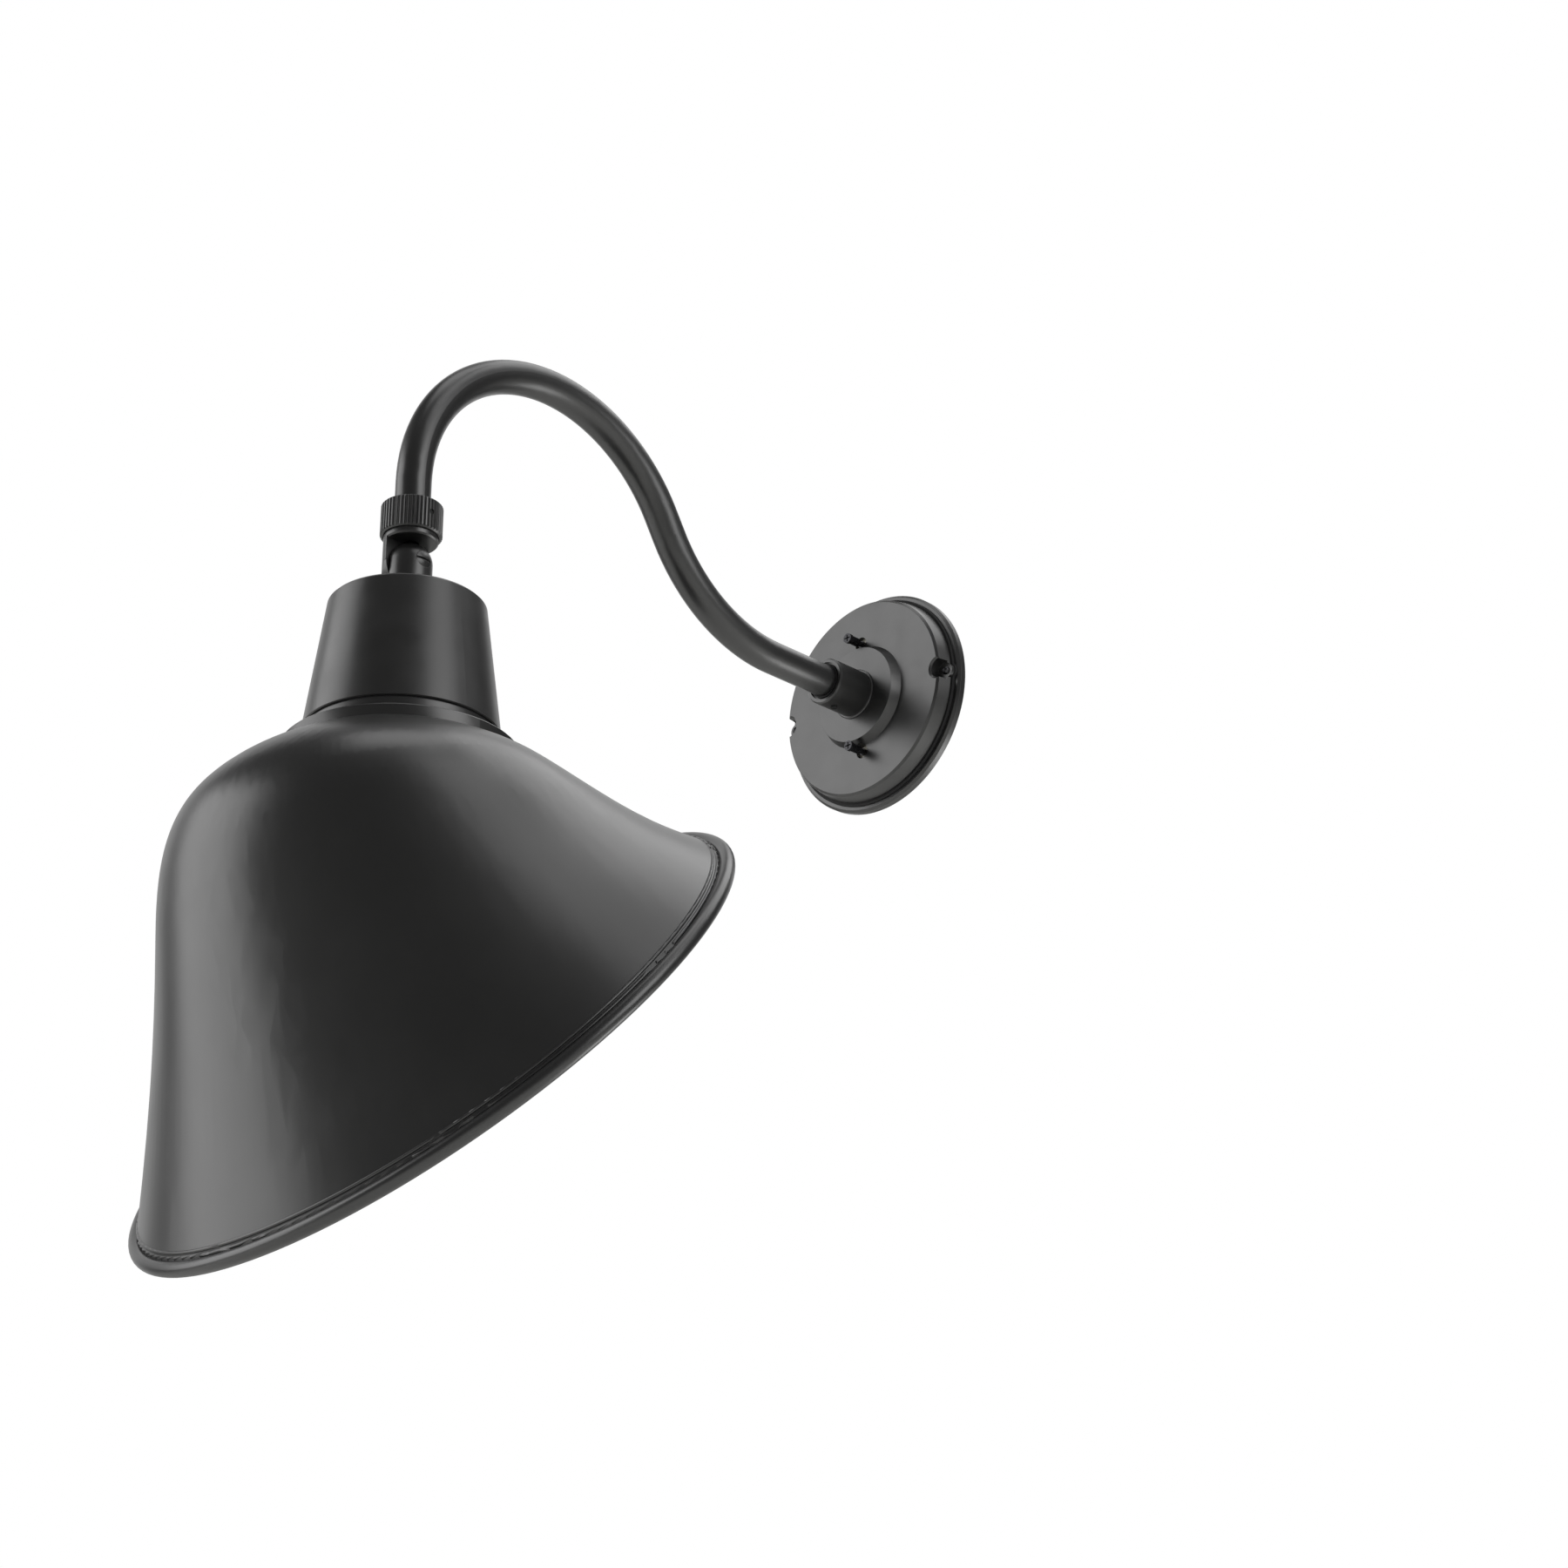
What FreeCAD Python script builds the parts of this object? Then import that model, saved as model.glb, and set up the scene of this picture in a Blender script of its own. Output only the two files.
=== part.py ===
import FreeCAD, Part
import math
import os

import Sketcher

# Gooseneck wall sconce with a tilted bell shade, in millimetres.
# Origin: centre of the wall plate on the wall plane (Y = 0). The lamp reaches out along -Y, +Z is up.

SIZES = {
    # wall plate, cover and their seals
    "plate_radius": 67.6,
    "plate_depth": 5.0,
    "plate_edge": 1.4,
    "wall_seal_inset": 9.6,
    "wall_seal_width": 8.0,
    "wall_seal_depth": 2.0,
    "opening_inset": 7.0,
    "cover_inset": 5.2,
    "cover_draft": 1.5,
    "seal_reveal": 1.8,
    "cover_seal_depth": 1.6,
    "cover_seal_width": 8.0,
    "cover_depth": 16.2,
    "cover_wall": 3.0,
    "cover_chamfer": 1.3,
    "boss_foot_radius": 31.8,
    "boss_radius": 29.3,
    "boss_height": 5.9,
    "notch_radius": 6.0,
    "notch_inset": 1.9,
    "notch_wall": 2.2,
    "notch_chamfer": 1.1,
    "lug_radius": 4.6,
    "seal_margin": 0.9,
    "seal_edge": 0.6,
    "lug_depth": 2.2,
    "cover_screw_radius": 1.5,
    "cover_screw_head": 2.5,
    "cover_screw_length": 7.0,
    # captive mounting screws
    "mount_spacing": 69.85,
    "mount_hole_radius": 4.3,
    "mount_thread_radius": 2.08,
    "mount_neck_radius": 1.6,
    "mount_head_radius": 3.0,
    "mount_head_height": 2.4,
    "mount_slot_width": 0.8,
    "mount_slot_depth": 1.5,
    "mount_slot_reach": 2.1,
    "mount_rib_radius": 2.6,
    "mount_rib_pitch": 1.3,
    "mount_rib_run": 6.5,
    "mount_neck_run": 3.4,
    "mount_standoff": 12.0,
    "mount_reach_behind": 16.0,
    "retainer_radius": 6.0,
    "retainer_depth": 0.8,
    "ground_head_radius": 4.0,
    "ground_head_height": 2.4,
    "ground_thread_radius": 2.0,
    "ground_thread_length": 1.9,
    "ground_offset_side": 19.0,
    "ground_offset_down": 10.0,
    # hub that holds the arm
    "hub_radius": 14.0,
    "hub_length": 26.3,
    "hub_foot_radius": 15.2,
    "hub_foot_depth": 1.3,
    "hub_foot_edge": 0.5,
    "hub_mouth_edge": 0.8,
    "hub_socket_depth": 22.0,
    "hub_groove_width": 0.8,
    "hub_groove_depth": 1.2,
    "hub_seal_depth": 5.0,
    "hub_seal_width": 1.0,
    "nipple_radius": 8.2,
    "nipple_bore": 6.0,
    "hub_nut_flats": 12.0,
    "hub_nut_depth": 4.0,
    "hub_washer_radius": 13.0,
    "hub_washer_depth": 0.8,
    "set_screw_radius": 2.0,
    "set_screw_proud": 0.8,
    "set_screw_place": 8.5,
    # bent arm
    "tube_radius": 9.525,
    "tube_wall": 1.6,
    "arm_projection": 361.0,
    "bend_radius": 96.5,
    "bend_angle": 59.0,
    "middle_run": 14.2,
    "arm_end_drop": 19.0,
    "fit_gap": 0.1,
    # ferrule, lock ring and swivel
    "ferrule_radius": 12.6,
    "ferrule_height": 12.5,
    "ferrule_floor": 2.0,
    "ring_radius": 16.4,
    "ring_top_drop": 6.0,
    "ring_height": 17.9,
    "ring_lip": 2.2,
    "ring_ridges": 48,
    "ridge_depth": 0.65,
    "ring_chamfer": 1.0,
    "ring_top_edge": 0.5,
    "ring_screw_radius": 1.5,
    "ring_screw_depth": 1.6,
    "ridge_gap_share": 0.62,
    "swivel_gap": 0.3,
    "swivel_washer_depth": 0.9,
    "disc_radius": 14.4,
    "disc_depth": 5.0,
    "disc_chamfer": 0.8,
    "stem_radius": 6.6,
    "stem_bore": 4.2,
    "stem_height": 5.0,
    "clip_depth": 1.0,
    "clip_groove": 0.7,
    # knuckle
    "hinge_drop": 40.0,
    "ear_face": 2.4,
    "ear_round": 13.8,
    "tongue_radius": 12.0,
    "tongue_face": 1.6,
    "shoulder_gap": 0.8,
    "hinge_screw_radius": 2.5,
    "hinge_head_radius": 4.6,
    "hinge_head_sink": 4.4,
    "hinge_slot_width": 1.3,
    "hinge_slot_depth": 1.6,
    "hinge_nut_flats": 4.0,
    "hinge_nut_depth": 3.2,
    "hinge_washer_radius": 8.0,
    "foot_flange_radius": 13.4,
    "foot_flange_depth": 1.0,
    "foot_seal_radius": 13.0,
    "foot_seal_depth": 1.0,
    # neck housing
    "neck_top_drop": 64.7,
    "neck_top_radius": 41.5,
    "neck_foot_radius": 51.0,
    "neck_height": 73.0,
    "neck_wall": 2.5,
    "neck_roof": 3.0,
    "neck_edge": 1.2,
    "neck_foot_edge": 0.6,
    "knuckle_stem_radius": 8.0,
    "knuckle_stem_bore": 5.0,
    "neck_nut_flats": 12.0,
    "neck_nut_depth": 4.5,
    # heat sink, driver and light engine
    "neck_seal_bore": 43.5,
    "neck_seal_depth": 0.6,
    "sink_radius": 49.6,
    "sink_depth": 8.2,
    "sink_boss_radius": 34.0,
    "sink_boss_depth": 4.4,
    "sink_pillar_radius": 14.0,
    "fin_count": 12,
    "fin_height": 26.0,
    "fin_length": 24.0,
    "fin_width": 2.2,
    "driver_radius": 29.0,
    "driver_height": 30.0,
    "driver_ear_radius": 5.0,
    "driver_ear_depth": 2.5,
    "driver_ear_offset": 8.0,
    "driver_screw_radius": 1.75,
    "driver_screw_head": 3.5,
    "driver_screw_length": 10.0,
    "shade_seal_depth": 0.5,
    "board_radius": 31.0,
    "board_depth": 1.6,
    "emitter_count": 12,
    "emitter_ring": 20.0,
    "emitter_size": 3.5,
    "emitter_depth": 0.9,
    "board_screw_radius": 1.25,
    "board_screw_head": 2.5,
    "board_screw_head_depth": 1.3,
    "board_screw_length": 5.0,
    "board_screw_ring": 27.0,
    "lens_radius": 38.4,
    "lens_depth": 3.0,
    "lens_bulge": 7.0,
    "lens_drop": 10.4,
    "lens_seal_depth": 1.0,
    "lens_seal_width": 3.4,
    "reflector_wall": 0.8,
    "bezel_wall": 2.6,
    "bezel_lip": 2.0,
    "bezel_flange_radius": 51.0,
    "bezel_flange_depth": 2.4,
    "bezel_screw_ring": 46.4,
    "bezel_screw_radius": 1.75,
    "bezel_screw_head": 3.2,
    "bezel_screw_head_depth": 1.8,
    "bezel_screw_length": 8.0,
    # bell shade: circles that lean over more and more towards the mouth
    "shade_wall": 1.8,
    "shade_hole_radius": 36.0,
    "collar_radius": 61.4,
    "collar_height": 6.4,
    "collar_edge": 0.8,
    "brow_radius": 77.8,
    "brow_drop": 15.4,
    "brow_forward": 10.4,
    "brow_tilt": 5.3,
    "shoulder_radius": 95.2,
    "shoulder_drop": 31.6,
    "shoulder_forward": 20.4,
    "shoulder_tilt": 13.9,
    "cheek_radius": 109.2,
    "cheek_drop": 53.6,
    "cheek_forward": 16.0,
    "cheek_tilt": 23.7,
    "skirt_radius": 135.0,
    "skirt_drop": 99.4,
    "skirt_back": 3.0,
    "skirt_tilt": 39.6,
    "mouth_radius": 169.4,
    "mouth_drop": 146.0,
    "mouth_back": 23.2,
    "mouth_tilt": 49.4,
    "bead_radius": 4.0,
    "bead_reach": 5.0,
    "bead_drop": 6.5,
    "lip_flare": 3.5,
    "lip_drop": 5.5,
    "rim_ridge": 1.0,
    "rim_ridge_sink": 0.35,
    "ridge_drop": 0.7,
    "ridge_step": 2.1,
    "lock_screw_ring": 55.8,
    "lock_screw_angle": 75.0,
    "lock_screw_radius": 2.0,
    "lock_screw_length": 7.8,
    "lock_head_radius": 4.2,
    "lock_nut_flats": 3.0,
    "lock_nut_depth": 2.8,
}


class Size:
    """A length or angle that carries its number and its formula on the sheet."""

    def __init__(self, formula, value):
        self.formula = formula
        self.value = value

    def _pair(self, other, sign, value):
        return Size(f"({self.formula} {sign} {as_size(other).formula})", value)

    def __add__(self, other):
        return self._pair(other, "+", self.value + as_size(other).value)

    def __sub__(self, other):
        return self._pair(other, "-", self.value - as_size(other).value)

    def __mul__(self, other):
        return self._pair(other, "*", self.value * as_size(other).value)

    def __truediv__(self, other):
        return self._pair(other, "/", self.value / as_size(other).value)

    def __neg__(self):
        return Size(f"(-1 * {self.formula})", -self.value)

    def __radd__(self, other):
        return as_size(other) + self

    def __rsub__(self, other):
        return as_size(other) - self

    def __rmul__(self, other):
        return as_size(other) * self

    def __rtruediv__(self, other):
        return as_size(other) / self


def as_size(value):
    return value if isinstance(value, Size) else Size(repr(float(value)), float(value))


def sine(angle):
    angle = as_size(angle)
    return Size(f"sin({angle.formula} * 1 deg)", math.sin(math.radians(angle.value)))


def cosine(angle):
    angle = as_size(angle)
    return Size(f"cos({angle.formula} * 1 deg)", math.cos(math.radians(angle.value)))


class Sheet:
    """The driving sizes: one row each, read as attributes."""

    def __init__(self, doc, sizes):
        self.cells = doc.addObject("Spreadsheet::Sheet", "dims")
        for row, (alias, value) in enumerate(sizes.items(), start=1):
            self.cells.set(f"A{row}", alias)
            self.cells.set(f"B{row}", str(value))
            self.cells.setAlias(f"B{row}", alias)

    def __getattr__(self, alias):
        return Size(f"dims.{alias}", float(SIZES[alias]))


doc = FreeCAD.newDocument("sconce")
dim = Sheet(doc, SIZES)
doc.recompute()

TURNS = {
    "up": FreeCAD.Rotation(),
    "out": FreeCAD.Rotation(FreeCAD.Vector(1, 0, 0), 90),
    "side": FreeCAD.Rotation(FreeCAD.Vector(0, 1, 0), 90),
}
CUT_PAST = 1.0
nodes = []


def bind(obj, path, value):
    obj.setExpression(path, as_size(value).formula)


def place(obj, at, direction="up"):
    """Put an object at a point and point its own Z along up, out (-Y) or side (+X)."""
    obj.Placement = FreeCAD.Placement(FreeCAD.Vector(), TURNS[direction])
    for axis, value in zip("xyz", at):
        bind(obj, f"Placement.Base.{axis}", value)
    return obj


def cylinder(radius, height, at, direction="up"):
    obj = doc.addObject("Part::Cylinder", "cylinder")
    bind(obj, "Radius", radius)
    bind(obj, "Height", height)
    return place(obj, at, direction)


def cone(foot, top, height, at, direction="up"):
    obj = doc.addObject("Part::Cone", "cone")
    bind(obj, "Radius1", foot)
    bind(obj, "Radius2", top)
    bind(obj, "Height", height)
    return place(obj, at, direction)


def ball(radius, at):
    obj = doc.addObject("Part::Sphere", "ball")
    bind(obj, "Radius", radius)
    return place(obj, at)


def block(length, width, height, at):
    obj = doc.addObject("Part::Box", "block")
    bind(obj, "Length", length)
    bind(obj, "Width", width)
    bind(obj, "Height", height)
    return place(obj, at)


def hexagon(flats, height, at, direction="up"):
    """A six-sided prism, given by the distance from its centre to a flat."""
    obj = doc.addObject("Part::Prism", "hexagon")
    obj.Polygon = 6
    bind(obj, "Circumradius", as_size(flats) / cosine(30))
    bind(obj, "Height", height)
    return place(obj, at, direction)


def cut(base, *tools):
    """Take every tool away from the base."""
    obj = doc.addObject("Part::Cut", "cut")
    obj.Base = base
    obj.Tool = tools[0] if len(tools) == 1 else fuse(*tools)
    return obj


def fuse(*shapes):
    obj = doc.addObject("Part::MultiFuse", "fuse")
    obj.Shapes = list(shapes)
    obj.Refine = True
    return obj


def common(first, second):
    obj = doc.addObject("Part::Common", "common")
    obj.Base = first
    obj.Tool = second
    return obj


def ring(outer, inner, height, at, direction="up"):
    """A flat ring: a disc with a round hole right through."""
    before = {"up": (0, 0, -CUT_PAST), "out": (0, CUT_PAST, 0), "side": (-CUT_PAST, 0, 0)}[direction]
    hole_at = [as_size(place) + step for place, step in zip(at, before)]
    hole = cylinder(inner, as_size(height) + 2 * CUT_PAST, hole_at, direction)
    return cut(cylinder(outer, height, at, direction), hole)


def group(shapes):
    obj = doc.addObject("Part::Compound", "set")
    obj.Links = list(shapes)
    return obj


def node(name, shape):
    """Name a finished piece; its name is also its file's name."""
    shape.Label = name
    nodes.append(shape)
    return shape


def origin_plane(body, role):
    return next(item for item in body.Origin.OriginFeatures if item.Role == role)


def outline(body, name, role, points):
    """A closed sketch of straight lines whose corners are held by the sheet's sizes."""
    sketch = body.newObject("Sketcher::SketchObject", name)
    sketch.AttachmentSupport = [(origin_plane(body, role), "")]
    sketch.MapMode = "FlatFace"
    corners = [(as_size(x), as_size(y)) for x, y in points]
    vectors = [FreeCAD.Vector(x.value, y.value, 0) for x, y in corners]
    for index, start in enumerate(vectors):
        sketch.addGeometry(Part.LineSegment(start, vectors[(index + 1) % len(vectors)]), False)
    for index, (x, y) in enumerate(corners):
        following = (index + 1) % len(corners)
        sketch.addConstraint(Sketcher.Constraint("Coincident", index, 2, following, 1))
        for kind, value in (("DistanceX", x), ("DistanceY", y)):
            number = sketch.addConstraint(Sketcher.Constraint(kind, -1, 1, index, 1, value.value))
            bind(sketch, f"Constraints[{number}]", value)
    return sketch


def turned(name, points, at=(0, 0, 0), role="XZ_Plane"):
    """A turned piece: an outline revolved once about the sketch's upright axis."""
    body = doc.addObject("PartDesign::Body", name)
    sketch = outline(body, f"{name}_outline", role, points)
    revolution = body.newObject("PartDesign::Revolution", f"{name}_turned")
    revolution.Profile = sketch
    revolution.ReferenceAxis = (sketch, ["V_Axis"])
    revolution.Angle = 360
    body.Tip = revolution
    for axis, value in zip("xyz", at):
        bind(body, f"Placement.Base.{axis}", value)
    return body


def dome(radius, at, direction="up"):
    """Half a ball that stands on its flat side."""
    obj = doc.addObject("Part::Sphere", "dome")
    bind(obj, "Radius", radius)
    obj.Angle1 = 0
    return place(obj, at, direction)


# --- Wall end: depths are measured from the wall towards the room --------------------------------

seal_outer = dim.plate_radius - dim.wall_seal_inset
seal_inner = seal_outer - dim.wall_seal_width
plate_opening = seal_inner - dim.opening_inset
cover_foot_radius = dim.plate_radius - dim.cover_inset
cover_edge_radius = cover_foot_radius - dim.cover_draft
notch_offset = cover_foot_radius - dim.notch_inset
cover_back = dim.plate_depth + dim.cover_seal_depth
cover_inside = dim.cover_depth - dim.cover_wall
lug_top = cover_back + dim.lug_depth
boss_face = dim.cover_depth + dim.boss_height
boss_inside = boss_face - dim.cover_wall
hub_mouth = boss_face + dim.hub_length
screw_hole = dim.cover_screw_radius + dim.fit_gap
SIDES = (-1, 1)


def wall_plate():
    plate = turned("plate_turned", [
        (plate_opening, 0),
        (seal_inner, 0),
        (seal_inner, -dim.wall_seal_depth),
        (seal_outer, -dim.wall_seal_depth),
        (seal_outer, 0),
        (dim.plate_radius, 0),
        (dim.plate_radius, -(dim.plate_depth - dim.plate_edge)),
        (dim.plate_radius - dim.plate_edge, -dim.plate_depth),
        (plate_opening, -dim.plate_depth),
    ], role="XY_Plane")
    holes = [cylinder(screw_hole, dim.plate_depth + 2 * CUT_PAST,
                      (side * notch_offset, CUT_PAST, 0), "out") for side in SIDES]
    node("wall_plate", cut(plate, *holes))
    node("wall_seal", ring(seal_outer, seal_inner, dim.wall_seal_depth, (0, 0, 0), "out"))


def cover_seal():
    """Flat seal between plate and cover; it bulges round the two screw lugs and shows as a ridge."""
    y = -dim.plate_depth
    outer = cover_foot_radius + dim.seal_reveal
    bulge = dim.lug_radius + dim.seal_margin
    straight = dim.cover_seal_depth - dim.seal_edge
    band = ring(outer, outer - dim.cover_seal_width, straight, (0, y, 0), "out")
    lip = cut(cone(outer, outer - dim.seal_edge, dim.seal_edge, (0, y - straight, 0), "out"),
              cylinder(outer - dim.cover_seal_width, dim.cover_seal_depth + CUT_PAST, (0, y, 0), "out"))
    bulges = [lip]
    for side in SIDES:
        x = side * notch_offset
        bulges.append(cylinder(bulge, straight, (x, y, 0), "out"))
        bulges.append(cone(bulge, bulge - dim.seal_edge, dim.seal_edge, (x, y - straight, 0), "out"))
    holes = [cylinder(screw_hole, dim.cover_seal_depth + 2 * CUT_PAST,
                      (side * notch_offset, y + CUT_PAST, 0), "out") for side in SIDES]
    node("cover_seal", cut(fuse(band, *bulges), *holes))


def wall_cover():
    """Cast cover with a raised boss, two side notches and two holes for the mounting screws."""
    boss_hollow = dim.boss_radius - dim.cover_wall
    shell = turned("cover_turned", [
        (cover_foot_radius, -cover_back),
        (cover_edge_radius, -(dim.cover_depth - dim.cover_chamfer)),
        (cover_edge_radius - dim.cover_chamfer, -dim.cover_depth),
        (dim.boss_foot_radius, -dim.cover_depth),
        (dim.boss_radius, -boss_face),
        (dim.nipple_radius + dim.fit_gap, -boss_face),
        (dim.nipple_radius + dim.fit_gap, -boss_inside),
        (boss_hollow, -boss_inside),
        (boss_hollow, -cover_inside),
        (cover_edge_radius - dim.cover_wall, -cover_inside),
        (cover_foot_radius - dim.cover_wall, -cover_back),
    ], role="XY_Plane")
    side_height = dim.cover_depth - dim.cover_chamfer - cover_back
    parts, tools = [shell], []
    for side in SIDES:
        x = side * notch_offset
        post = cylinder(dim.notch_radius + dim.notch_wall, side_height, (x, -cover_back, 0), "out")
        body = cone(cover_foot_radius - dim.cover_wall / 2, cover_edge_radius - dim.cover_wall / 2,
                    side_height, (0, -cover_back, 0), "out")
        parts.append(common(post, body))
        parts.append(cylinder(dim.lug_radius, dim.lug_depth, (x, -cover_back, 0), "out"))
        tools.append(cylinder(dim.notch_radius, boss_face, (x, -lug_top, 0), "out"))
        tools.append(cone(dim.notch_radius - dim.notch_chamfer, dim.notch_radius + 2 * dim.notch_chamfer,
                          3 * dim.notch_chamfer, (x, -(dim.cover_depth - 2 * dim.notch_chamfer), 0), "out"))
        through_lug = dim.lug_depth + 2 * CUT_PAST
        tools.append(cylinder(screw_hole, through_lug, (x, CUT_PAST - cover_back, 0), "out"))
        hole_at = (0, -dim.plate_depth, side * dim.mount_spacing / 2)
        tools.append(cylinder(dim.mount_hole_radius, boss_face, hole_at, "out"))
    tools.append(cylinder(dim.ground_thread_radius + dim.fit_gap, dim.ground_thread_length + dim.fit_gap,
                          (dim.ground_offset_side, -boss_inside, -dim.ground_offset_down), "out"))
    node("wall_cover", cut(fuse(*parts), *tools))


def cover_screws():
    screws = []
    for side in SIDES:
        x = side * notch_offset
        head = dome(dim.cover_screw_head, (x, -lug_top, 0), "out")
        shank = cylinder(dim.cover_screw_radius, dim.cover_screw_length,
                         (x, dim.cover_screw_length - lug_top, 0), "out")
        screws.append(fuse(head, shank))
    node("cover_screws", group(screws))


def cross_recess(at):
    """The cross that a driver fits, cut into a head that faces the room."""
    x, y, z = (as_size(value) for value in at)
    width, depth, reach = dim.mount_slot_width, dim.mount_slot_depth, dim.mount_slot_reach
    flat = block(2 * reach, depth, width, (x - reach, y, z - width / 2))
    upright = block(width, depth, 2 * reach, (x - width / 2, y, z - reach))
    return [flat, upright]


def mounting_screws():
    """Long captive screws: head, coarse ribs, a thin neck and the thread that enters the wall box."""
    head_front = dim.cover_depth + dim.mount_standoff
    head_back = head_front - dim.mount_head_height
    neck_top = head_back - dim.mount_rib_run
    thread_top = neck_top - dim.mount_neck_run
    rib_count = int(SIZES["mount_rib_run"] / SIZES["mount_rib_pitch"])
    screws, retainers = [], []
    for side in SIDES:
        z = side * dim.mount_spacing / 2
        head = cut(cylinder(dim.mount_head_radius, dim.mount_head_height, (0, -head_back, z), "out"),
                   *cross_recess((0, -head_front, z)))
        core = cylinder(dim.mount_thread_radius, dim.mount_rib_run, (0, -neck_top, z), "out")
        neck = cylinder(dim.mount_neck_radius, dim.mount_neck_run, (0, -thread_top, z), "out")
        thread = cylinder(dim.mount_thread_radius, thread_top + dim.mount_reach_behind,
                          (0, dim.mount_reach_behind, z), "out")
        ribs = [cylinder(dim.mount_rib_radius, dim.mount_rib_pitch / 2,
                         (0, -(neck_top + index * dim.mount_rib_pitch), z), "out")
                for index in range(rib_count)]
        screws.append(fuse(head, core, neck, thread, *ribs))
        retainer_bore = dim.mount_thread_radius + dim.fit_gap
        retainers.append(ring(dim.retainer_radius, retainer_bore, dim.retainer_depth,
                              (0, dim.retainer_depth - cover_inside, z), "out"))
    node("mounting_screws", group(screws))
    node("screw_retainers", group(retainers))


def ground_screw():
    x, z = dim.ground_offset_side, -dim.ground_offset_down
    head = hexagon(dim.ground_head_radius * cosine(30), dim.ground_head_height,
                   (x, dim.ground_head_height - boss_inside, z), "out")
    shank = cylinder(dim.ground_thread_radius, dim.ground_thread_length, (x, -boss_inside, z), "out")
    node("ground_screw", fuse(head, shank))


# --- Hub and arm ---------------------------------------------------------------------------------

tube_bore = dim.tube_radius + dim.fit_gap
hub_seal_outer = tube_bore + dim.hub_seal_width
hub_floor = hub_mouth - dim.hub_socket_depth
hub_washer_back = boss_inside - dim.hub_washer_depth
hub_nut_back = hub_washer_back - dim.hub_nut_depth


def arm_hub():
    """Turned socket for the arm, with a threaded nipple that passes through the cover."""
    groove_outer = hub_seal_outer + dim.hub_groove_width
    nipple_end = hub_nut_back - dim.hub_groove_depth
    foot_top = boss_face + dim.hub_foot_depth
    hub = turned("hub_turned", [
        (dim.nipple_bore, -nipple_end),
        (dim.nipple_radius, -nipple_end),
        (dim.nipple_radius, -boss_face),
        (dim.hub_foot_radius, -boss_face),
        (dim.hub_foot_radius, dim.hub_foot_edge - foot_top),
        (dim.hub_foot_radius - dim.hub_foot_edge, -foot_top),
        (dim.hub_radius, -foot_top),
        (dim.hub_radius, dim.hub_mouth_edge - hub_mouth),
        (dim.hub_radius - dim.hub_mouth_edge, -hub_mouth),
        (groove_outer, -hub_mouth),
        (groove_outer, -(hub_mouth - dim.hub_groove_depth)),
        (hub_seal_outer, -(hub_mouth - dim.hub_groove_depth)),
        (hub_seal_outer, -(hub_mouth - dim.hub_seal_depth)),
        (tube_bore, -(hub_mouth - dim.hub_seal_depth)),
        (tube_bore, -hub_floor),
        (dim.nipple_bore, -hub_floor),
    ], role="XY_Plane")
    screw_depth = hub_mouth - dim.set_screw_place
    reach = dim.hub_radius + CUT_PAST
    under = cylinder(dim.set_screw_radius + dim.fit_gap, reach, (0, -screw_depth, -reach))
    beside = cylinder(dim.set_screw_radius + dim.fit_gap, reach, (-reach, -screw_depth, 0), "side")
    node("arm_hub", cut(hub, under, beside))
    node("hub_seal", ring(hub_seal_outer, tube_bore, dim.hub_seal_depth,
                          (0, dim.hub_seal_depth - hub_mouth, 0), "out"))
    outer = dim.hub_radius + dim.set_screw_proud
    length = outer - tube_bore
    screws = [cylinder(dim.set_screw_radius, length, (0, -screw_depth, -outer)),
              cylinder(dim.set_screw_radius, length, (-outer, -screw_depth, 0), "side")]
    node("hub_set_screws", group(screws))
    nipple_hole = dim.nipple_radius + dim.fit_gap
    node("hub_washer", ring(dim.hub_washer_radius, nipple_hole, dim.hub_washer_depth,
                            (0, -hub_washer_back, 0), "out"))
    nut = hexagon(dim.hub_nut_flats, dim.hub_nut_depth, (0, -hub_nut_back, 0), "out")
    bore = cylinder(nipple_hole, dim.hub_nut_depth + 2 * CUT_PAST, (0, CUT_PAST - hub_nut_back, 0), "out")
    node("hub_nut", cut(nut, bore))


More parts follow.
